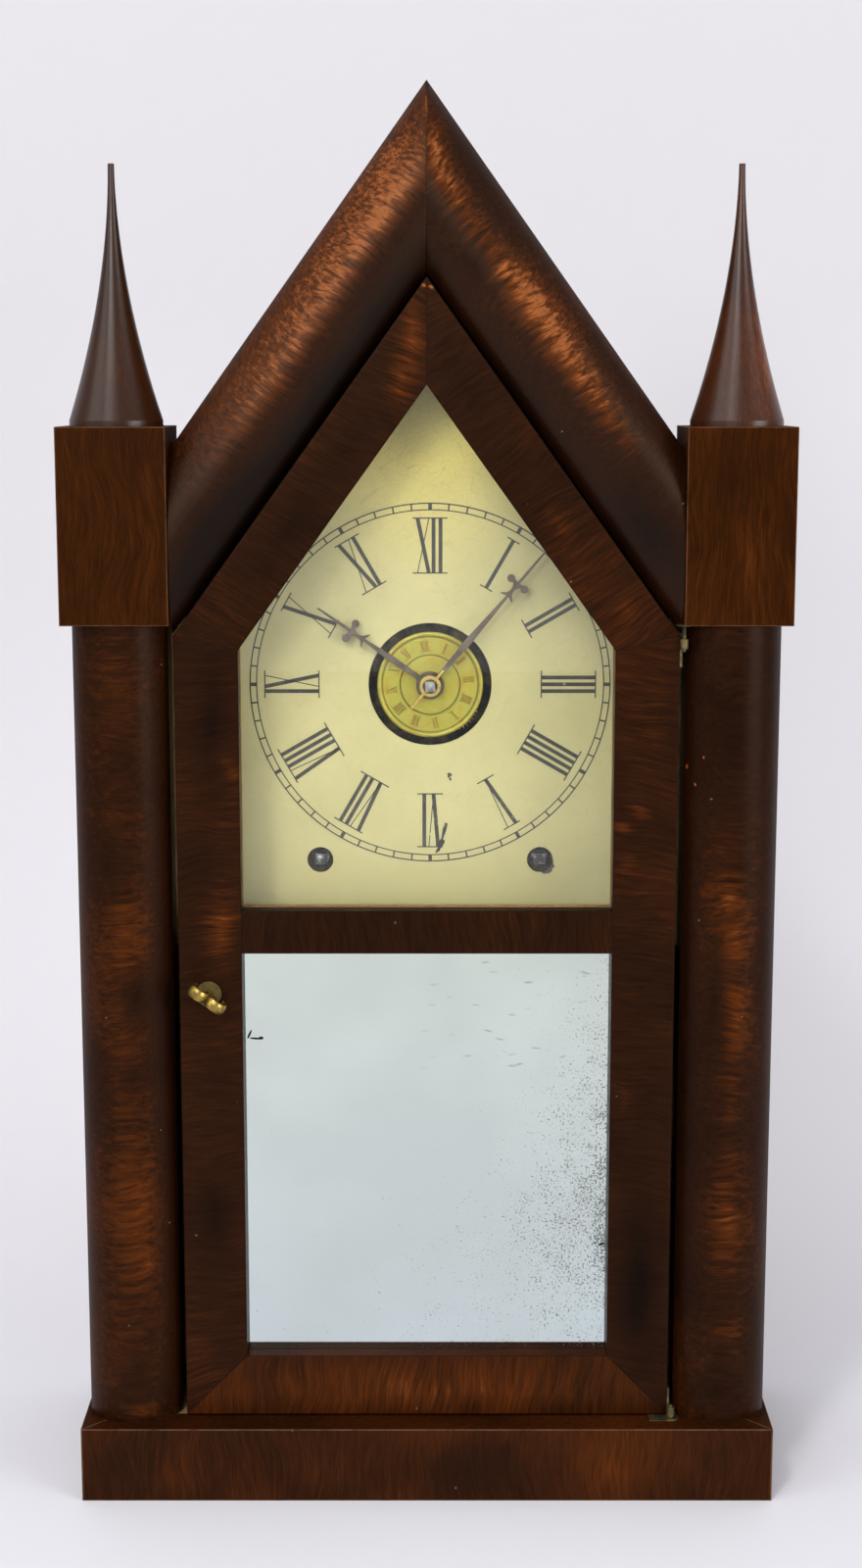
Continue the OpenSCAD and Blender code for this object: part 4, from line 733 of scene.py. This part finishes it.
# %% Clear glass
clear_glass = bpy.data.materials.new("clear_glass")
clear_glass.use_nodes = True
tree = clear_glass.node_tree
shader = tree.nodes["Principled BSDF"]
smear = noise(tree, object_place(tree), (70.0, 70.0, 25.0), 3.0, 0.6)
set_shader(shader, Base_Color=rgb((0.975, 0.985, 0.975)), Transmission_Weight=1.0, IOR=1.45,
           Specular_IOR_Level=0.5, Roughness=stretch(tree, smear, 0.4, 0.8, 0.0, 0.03))
lamp_ray = add_node(tree, "ShaderNodeLightPath").outputs["Is Shadow Ray"]
see_through(tree, lamp_ray)
dress(clear_glass, "upper_glass")
print("dial glass is clear")

# %% [markdown]
# The looking glass is old silvering. Small black spots pepper it in clumps, most of all at the
# right. Thin wisps cross its upper part, and three small scratches near its edges are bare.

# %% Where the silver has gone
PEPPERED = [(78, 116, 74, 150, 0, 0.21), (46, 96, 150, 150, 0, 0.10), (78, 185, 70, 90, 0, 0.13),
            (0, 60, 240, 150, 0, 0.075)]
WISPY = (46, 182, 80, 60, 0, 1.0)
SCRATCHED = [
    (-64.6, 172.6, 0.55, 2.6, 25, 3.0), (-62.4, 171.0, 3.2, 0.55, 4, 3.0),
    (-60.4, 171.2, 1.3, 0.8, 0, 3.0), (64.6, 92.5, 1.9, 0.6, -14, 3.0),
    (62.2, 92.9, 0.9, 0.6, 0, 1.5), (-3.0, 52.8, 0.5, 1.2, 20, 3.0),
]


def peppered(tree, position):
    """Fine grit that shows only where a crowd of spots, in clumps, adds to it."""
    clump = noise(tree, position, (0.13, 0.0, 0.13), 2.0, 0.6)
    crowd = calc(tree, "MULTIPLY_ADD", calc(tree, "SUBTRACT", clump, 0.5), 0.28,
                 patches(tree, PEPPERED))
    grit = noise(tree, position, (1.15, 0.0, 1.15), 3.0, 0.7)
    return stretch(tree, calc(tree, "ADD", grit, crowd), 0.735, 0.785, 0.0, 0.85)


def wispy(tree, position):
    """Long, wavy dashes. A noise picks some of them and a patch keeps them to the upper part."""
    waving = calc(tree, "MULTIPLY", noise(tree, position, (0.12, 0.0, 0.10), 2.0), 1.3)
    long = added(tree, scaled(tree, position, (0.085, 0.0, 0.34)), upward(tree, waving))
    wisp = stretch(tree, cell_distance(tree, long), 0.07, 0.20, 0.42, 0.0)
    few = stretch(tree, noise(tree, position, (0.10, 0.0, 0.25), 2.0), 0.42, 0.50)
    upper = stretch(tree, patches(tree, [WISPY]), 0.05, 0.3)
    return calc(tree, "MULTIPLY", wisp, calc(tree, "MULTIPLY", few, upper))


print("silver wear ready")

# %% Looking glass
LOW_SILVER, HIGH_SILVER, DIM_SILVER = (0.650, 0.735, 0.74), (0.735, 0.815, 0.735), (0.60, 0.645, 0.62)
DIM_MIDDLE = (-10, 118, 150, 100, 0, 0.42)
SPOT_GREY, SCRATCH_BLACK = (0.20, 0.225, 0.20), (0.02, 0.03, 0.02)

looking_glass, tree, shader, position = start_material("looking_glass")
scratched = stretch(tree, patches(tree, SCRATCHED), 0.1, 0.5)
bare = calc(tree, "MAXIMUM", peppered(tree, position), wispy(tree, position))
bare = calc(tree, "MAXIMUM", bare, scratched)
higher = stretch(tree, part_of(tree, position, "Z"), 60.0, 200.0)
silver = blend(tree, higher, LOW_SILVER, HIGH_SILVER)
cloudy = noise(tree, position, (0.02, 0.0, 0.025), 2.0)
cloudy = calc(tree, "ADD", cloudy, patches(tree, [DIM_MIDDLE]))
silver = blend(tree, stretch(tree, cloudy, 0.38, 0.78, 0.0, 0.60), silver, DIM_SILVER)
bared = blend(tree, scratched, SPOT_GREY, SCRATCH_BLACK)
set_shader(shader, Base_Color=blend(tree, bare, silver, bared), Metallic=1.0,
           Roughness=stretch(tree, bare, 0.0, 1.0, 0.035, 0.5))
dress(looking_glass, "mirror_glass")
print("looking glass silvered")

# %% [markdown]
# ## New pieces
#
# What is painted or pinned on is too fine for the solids. Each new piece starts as an empty
# bmesh, is filled by bmesh operators, and becomes an object that rides on the part it belongs
# to. Its object stays at the origin, with its place in its mesh, as for the solids.

# %% Helpers that turn a bmesh into a piece
def to_object(bm, name, material, smooth):
    for face in bm.faces:
        face.smooth = smooth
    mesh = bpy.data.meshes.new(name)
    bm.to_mesh(mesh)
    bm.free()
    mesh.materials.append(material)
    item = bpy.data.objects.new(name, mesh)
    bpy.context.scene.collection.objects.link(item)
    print(name, "has", len(mesh.polygons), "faces")
    return item


def settle(bm, name, material, body, smooth=False):
    """Clean the mesh and hand the piece to the body that it rides on."""
    bmesh.ops.remove_doubles(bm, verts=bm.verts, dist=0.0005 * MM)
    bmesh.ops.recalc_face_normals(bm, faces=bm.faces)
    piece = to_object(bm, name, material, smooth)
    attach(piece, body)


print("piece helpers ready")

# %% Helpers that draw on the dial
def bar(bm, start, end, start_wide, end_wide, front, back):
    """A flat bar in the dial's plane from start to end, both (x, z) in millimetres."""
    along = Vector((end[0] - start[0], end[1] - start[1]))
    across = Vector((along.y, -along.x)).normalized()
    for vert in bmesh.ops.create_cube(bm, size=1.0)["verts"]:
        far = vert.co.x > 0
        centre = Vector(end if far else start)
        wide = end_wide if far else start_wide
        point = centre + across * (wide / 2 * (1 if vert.co.z > 0 else -1))
        vert.co = (point.x * MM, (back if vert.co.y > 0 else front), point.y * MM)


def spin_about_dial(bm, profile, steps):
    """Turn a closed profile, given as (radius in millimetres, y in metres), once around."""
    verts = [bm.verts.new((dial_centre_x + radius * MM, deep, dial_centre_z))
             for radius, deep in profile]
    loop = [bm.edges.new((vert, verts[(i + 1) % len(verts)])) for i, vert in enumerate(verts)]
    bmesh.ops.spin(bm, geom=verts + loop, cent=(dial_centre_x, 0, dial_centre_z), axis=(0, 1, 0),
                   angle=2 * math.pi, steps=steps, use_merge=True)


def ring(bm, inner, outer, front, back, steps):
    spin_about_dial(bm, ((inner, front), (outer, front), (outer, back), (inner, back)), steps)


def on_dial(radius, angle, aside=0.0):
    """A place at radius and clock angle in degrees, moved aside clockwise, in millimetres."""
    a = math.radians(angle)
    out_x, out_z = math.sin(a), math.cos(a)
    return (dial_centre_x / MM + radius * out_x + aside * out_z,
            dial_centre_z / MM + radius * out_z - aside * out_x)


print("drawing helpers ready")

# %% [markdown]
# ### Minute track and numerals
#
# The track is two thin rings with a tick for each minute and a heavy bar at every fifth. A
# full-turn spin of a small rectangle makes each ring.

# %% Minute track
PAINT = 0.03 * MM
TRACK_OUT, TRACK_IN = 65.75, 63.4
OUT_WIDE, IN_WIDE = 0.48, 0.42
FIFTH_WIDE, TICK_WIDE = 1.35, 0.58

bm = bmesh.new()
front, back = dial_face - PAINT, dial_face + PAINT
for radius, wide in ((TRACK_OUT, OUT_WIDE), (TRACK_IN, IN_WIDE)):
    ring(bm, radius - wide / 2, radius + wide / 2, front, back, steps=180)
for minute in range(60):
    wide = FIFTH_WIDE if minute % 5 == 0 else TICK_WIDE
    angle = 6.0 * minute
    bar(bm, on_dial(TRACK_IN, angle), on_dial(TRACK_OUT, angle), wide, wide, front, back)
settle(bm, "minute_track", numeral_paint, "case")

# %% [markdown]
# The numerals stand between two circles with their feet towards the centre. Each letter is one
# or two bars: a thick and a hair stroke. A serif closes the numeral at each end. It lies a hair
# further forward than the strokes that it crosses, so that no two faces share a plane.

# %% Numerals
NUMERAL_OUT, NUMERAL_IN = 60.4, 40.6
NUMBERS = ["XII", "I", "II", "III", "IIII", "V", "VI", "VII", "VIII", "IX", "X", "XI"]
THICK, HAIR, INSET = 1.42, 0.36, 0.45
LETTER = {"I": 2.5, "V": 4.3, "X": 5.0}  # widths
SERIF_REACH, SERIF_WIDE, SERIF_LIFT = 1.3, 1.3, 0.003 * MM


def letter_bars(letter, left, scale):
    """Bars of one letter as (foot aside, head aside, width), measured from the letter's left."""
    wide, inset = LETTER[letter] * scale, INSET * scale
    thick, hair, middle = THICK * scale, HAIR * scale, left + wide / 2
    if letter == "I":
        return [(middle, middle, thick)]
    if letter == "V":
        return [(middle, left + inset, thick), (middle, left + wide - inset, hair)]
    return [(left + wide - inset, left + inset, thick), (left + inset, left + wide - inset, hair)]


def numeral(bm, text, angle, foot, head, front, back, scale=1.0):
    total = sum(LETTER[letter] for letter in text) * scale
    left = -total / 2
    for letter in text:
        for foot_aside, head_aside, wide in letter_bars(letter, left, scale):
            bar(bm, on_dial(foot, angle, foot_aside), on_dial(head, angle, head_aside),
                wide, wide, front, back)
        left += LETTER[letter] * scale
    reach = total / 2 + SERIF_REACH * scale
    wide = HAIR * scale * SERIF_WIDE
    for radius in (foot, head):
        bar(bm, on_dial(radius, angle, -reach), on_dial(radius, angle, reach),
            wide, wide, front - SERIF_LIFT, back)


bm = bmesh.new()
for hour, text in enumerate(NUMBERS):
    numeral(bm, text, 30.0 * hour, NUMERAL_IN, NUMERAL_OUT, front, back)
settle(bm, "numerals", numeral_paint, "case")

# %% [markdown]
# Two strokes at the six have been touched up in grey, long ago and not well, and a blot sits
# above them. Small discs, swollen into three lobes and drawn out, do for these.

# %% Blots on the dial
SWELL = 0.22
BLOTS = [
    (8.3, 264.4, 1.6, 1.9, 20), (8.6, 262.9, 0.9, 1.2, -20), (6.3, 243.2, 1.3, 8.4, 14),
    (5.2, 238.6, 1.9, 4.6, 22), (4.0, 236.2, 1.2, 2.2, 40),
]  # x, z, width, height and turn


def blot(bm, x, z, wide, high, turn, front, back):
    made = bmesh.ops.create_cone(bm, cap_ends=True, segments=14, radius1=0.5, radius2=0.5,
                                 depth=1.0)["verts"]
    for vert in made:
        swell = 1.0 + SWELL * math.sin(3.0 * math.atan2(vert.co.y, vert.co.x))
        vert.co.x *= swell
        vert.co.y *= swell
    lay = Matrix.Rotation(math.radians(90), 4, "X")
    size = Matrix.Diagonal((wide * MM, back - front, high * MM, 1.0))
    aslant = Matrix.Rotation(math.radians(turn), 4, "Y")
    spot = Matrix.Translation((x * MM, (front + back) / 2, z * MM))
    bmesh.ops.transform(bm, matrix=spot @ aslant @ size @ lay, verts=made)


bm = bmesh.new()
for place in BLOTS:
    blot(bm, *place, front, back)
settle(bm, "dial_blots", numeral_paint, "case")

# %% [markdown]
# ### Alarm disc and the minute hand's collet
#
# The numbers of the alarm disc are stamped, so they stand up by a fraction of a millimetre. The
# disc was left turned a little anticlockwise. Two beads run around it.

# %% Stamped numbers on the alarm disc
DISC_TURN, DISC_OUT, DISC_IN, DISC_SCALE = -8.0, 16.0, 12.4, 0.29
stamp_front, stamp_back = disc_face - 0.22 * MM, disc_face + 0.1 * MM

bm = bmesh.new()
for hour, text in enumerate(NUMBERS):
    numeral(bm, text, 30.0 * hour + DISC_TURN, DISC_IN, DISC_OUT, stamp_front, stamp_back, DISC_SCALE)
settle(bm, "disc_numbers", number_brass, "alarm_setting")

# %% Beads on the alarm disc
BEAD_POINTS, BEAD_STEPS = 7, 96
BEADS = ((18.55, 1.3, 0.45), (11.25, 0.55, 0.22))  # radius, width and height


def bead(bm, radius, wide, proud, base):
    """A raised ring of half-round section."""
    arc = [math.pi * i / (BEAD_POINTS - 1) for i in range(BEAD_POINTS)]
    profile = [(radius - wide / 2 * math.cos(a), base - proud * MM * math.sin(a)) for a in arc]
    spin_about_dial(bm, profile, BEAD_STEPS)


bm = bmesh.new()
for radius, wide, proud in BEADS:
    bead(bm, radius, wide, proud, disc_face + 0.02 * MM)
settle(bm, "disc_beads", disc_brass, "alarm_setting", smooth=True)

# %% [markdown]
# The minute hand is riveted to a small brass collet. A short arm of the collet lies on the hand,
# and a longer tail points the other way. Its sharp edges are bevelled.

# %% Collet of the minute hand
MINUTE_ANGLE = 40.5
COLLET_IN, COLLET_OUT = 2.55, 3.9
ARM_ROOT, ARM_TIP, TAIL_TIP = 3.2, 7.6, 10.4
ARM_WIDE, TAIL_WIDE, TIP_WIDE = 1.1, 1.0, 0.8
minute_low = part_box("minute_hand")[0]
collet_front, collet_back = minute_low.y - 0.7 * MM, minute_low.y + 0.1 * MM
arm_front = collet_front + 0.2 * MM

bm = bmesh.new()
ring(bm, COLLET_IN, COLLET_OUT, collet_front, collet_back, steps=48)
for angle, tip, wide in ((MINUTE_ANGLE, ARM_TIP, ARM_WIDE), (MINUTE_ANGLE + 180, TAIL_TIP, TAIL_WIDE)):
    bar(bm, on_dial(ARM_ROOT, angle), on_dial(tip, angle), wide, TIP_WIDE, arm_front, collet_back)
sharp = [edge for edge in bm.edges if edge.calc_length() > 0.3 * MM
         and len(edge.link_faces) == 2 and edge.calc_face_angle(0) > 1.0]
bmesh.ops.bevel(bm, geom=sharp, offset=0.12 * MM, offset_type="OFFSET", segments=2, profile=0.5,
                affect="EDGES", material=-1, clamp_overlap=True)
settle(bm, "minute_collet", bright_brass, "minute_arbor")

# %% [markdown]
# ## Floor, light and camera
#
# The clock stands on a white sheet that rises behind it in one smooth sweep. A profile of a few
# points, drawn out sideways, makes the sheet. Its colour is painted a little darker higher up and
# in front, as painted shade where the lamps fall strongest. Seen from behind, it lets the view
# through, so that the back of the clock can be looked at too.

# %% Paper
# the higher colour and the front colour are painted shade
PAPER_LOW, PAPER_HIGH = (0.815, 0.808, 0.848), (0.660, 0.652, 0.678)
PAPER_FRONT, PAPER_GRAIN = (0.545, 0.543, 0.564), (0.60, 0.60, 0.62)

sheet_paper = bpy.data.materials.new("white_paper")
sheet_paper.use_nodes = True
tree = sheet_paper.node_tree
shader = tree.nodes["Principled BSDF"]
place = object_place(tree)
height = stretch(tree, part_of(tree, place, "Z"), 0.0, 0.45)
nearer = stretch(tree, part_of(tree, place, "Y"), -1.0, -0.15, 1.0, 0.0)
grain = noise(tree, place, (400.0,) * 3, 3.0, 0.6)
paper = blend(tree, height, PAPER_LOW, PAPER_HIGH)
paper = blend(tree, nearer, paper, PAPER_FRONT)
paper = blend(tree, calc(tree, "MULTIPLY", grain, 0.05), paper, PAPER_GRAIN)
set_shader(shader, Base_Color=paper, Roughness=0.9, Specular_IOR_Level=0.1)
see_through(tree, surface(tree, "Backfacing"))
print("paper ready")

# %% White sweep
FRONT, BACK, RADIUS, TOP, HALF_WIDTH = -2.6, 0.42, 0.30, 2.6, 3.0
ARC_STEPS = 16

profile = [(FRONT, 0.0), (BACK - RADIUS, 0.0)]
for step in range(1, ARC_STEPS + 1):
    a = math.radians(90.0 * step / ARC_STEPS)
    profile.append((BACK - RADIUS + RADIUS * math.sin(a), RADIUS - RADIUS * math.cos(a)))
profile.append((BACK, TOP))
bm = bmesh.new()
verts = [bm.verts.new((-HALF_WIDTH, y, z)) for y, z in profile]
path = [bm.edges.new(pair) for pair in zip(verts, verts[1:])]
drawn = bmesh.ops.extrude_edge_only(bm, edges=path)["geom"]
moved = [part for part in drawn if isinstance(part, bmesh.types.BMVert)]
bmesh.ops.translate(bm, verts=moved, vec=(2 * HALF_WIDTH, 0, 0))
bmesh.ops.recalc_face_normals(bm, faces=bm.faces)
if sum(face.normal.z - face.normal.y for face in bm.faces) < 0:
    bmesh.ops.reverse_faces(bm, faces=bm.faces)
sweep = to_object(bm, "white_sweep", sheet_paper, smooth=True)

# %% [markdown]
# Soft lamps in front, at the left and above light the clock, and two smaller ones put glints on
# the polish. A broad lamp fills the right side. The world is dim as a light. Straight from the
# camera, through the glass or in a polished surface it looks brighter, but only until the ray
# has met something dull.

# %% Lamps
TARGET = (0.0, 0.0, 0.25)


def lamp(name, place, size, watts, aim=TARGET):
    data = bpy.data.lights.new(name, "AREA")
    data.shape = "RECTANGLE"
    data.size, data.size_y = size
    data.energy = watts
    item = bpy.data.objects.new(name, data)
    bpy.context.scene.collection.objects.link(item)
    item.location = place
    item.rotation_euler = (Vector(aim) - Vector(place)).to_track_quat("-Z", "Y").to_euler()


lamp("front_window", (-0.35, -1.50, 0.90), (0.7, 0.7), 6.0)
lamp("small_window", (-0.50, -1.25, 0.76), (0.22, 0.22), 3.1)
lamp("left_window", (-1.3, -0.9, 1.0), (0.9, 1.2), 6.0)
lamp("overhead", (-0.2, -0.35, 1.7), (1.3, 0.9), 3.5)
lamp("skylight", (-0.40, -0.90, 1.40), (0.2, 0.2), 4.4, aim=(0, 0, 0.35))
lamp("right_fill", (1.4, -1.1, 0.5), (0.9, 0.9), 15.0)

# %% World
AS_LIGHT, MORE_IN_POLISH, MORE_WHEN_SEEN = 0.37, 0.10, 0.45

world = bpy.data.worlds.new("room")
bpy.context.scene.world = world
world.use_nodes = True
tree = world.node_tree
sky = tree.nodes["Background"].inputs
sky["Color"].default_value = (0.98, 0.97, 1.0, 1.0)
ray = add_node(tree, "ShaderNodeLightPath").outputs
straight = calc(tree, "LESS_THAN", ray["Diffuse Depth"], 0.5)
seen = calc(tree, "MAXIMUM", ray["Is Camera Ray"], ray["Is Transmission Ray"])
seen = calc(tree, "MULTIPLY", straight, seen)
polish = calc(tree, "MULTIPLY", straight, ray["Is Glossy Ray"])
strength = calc(tree, "MULTIPLY_ADD", polish, MORE_IN_POLISH, AS_LIGHT)
join(tree, calc(tree, "MULTIPLY_ADD", seen, MORE_WHEN_SEEN, strength), sky["Strength"])
print("world ready")

# %% [markdown]
# The camera stands where the photographer's stood: about 81 cm in front of the base and some
# 40 cm above the table, tilted down by nine and a half degrees.

# %% Camera
ASIDE, AWAY, ABOVE, TILT = 0.001526, 0.8066, 0.40354, 9.536

camera_data = bpy.data.cameras.new("camera")
camera_data.lens = 53.67
camera_data.sensor_width = 36.0
camera = bpy.data.objects.new("camera", camera_data)
bpy.context.scene.collection.objects.link(camera)
camera.location = (ASIDE, base_front - AWAY, ABOVE)
camera.rotation_euler = (math.radians(90 - TILT), 0, 0)
bpy.context.scene.camera = camera
bpy.context.scene.view_settings.view_transform = "Standard"
print("camera is", round(-camera.location.y, 3), "m in front of the middle of the clock")
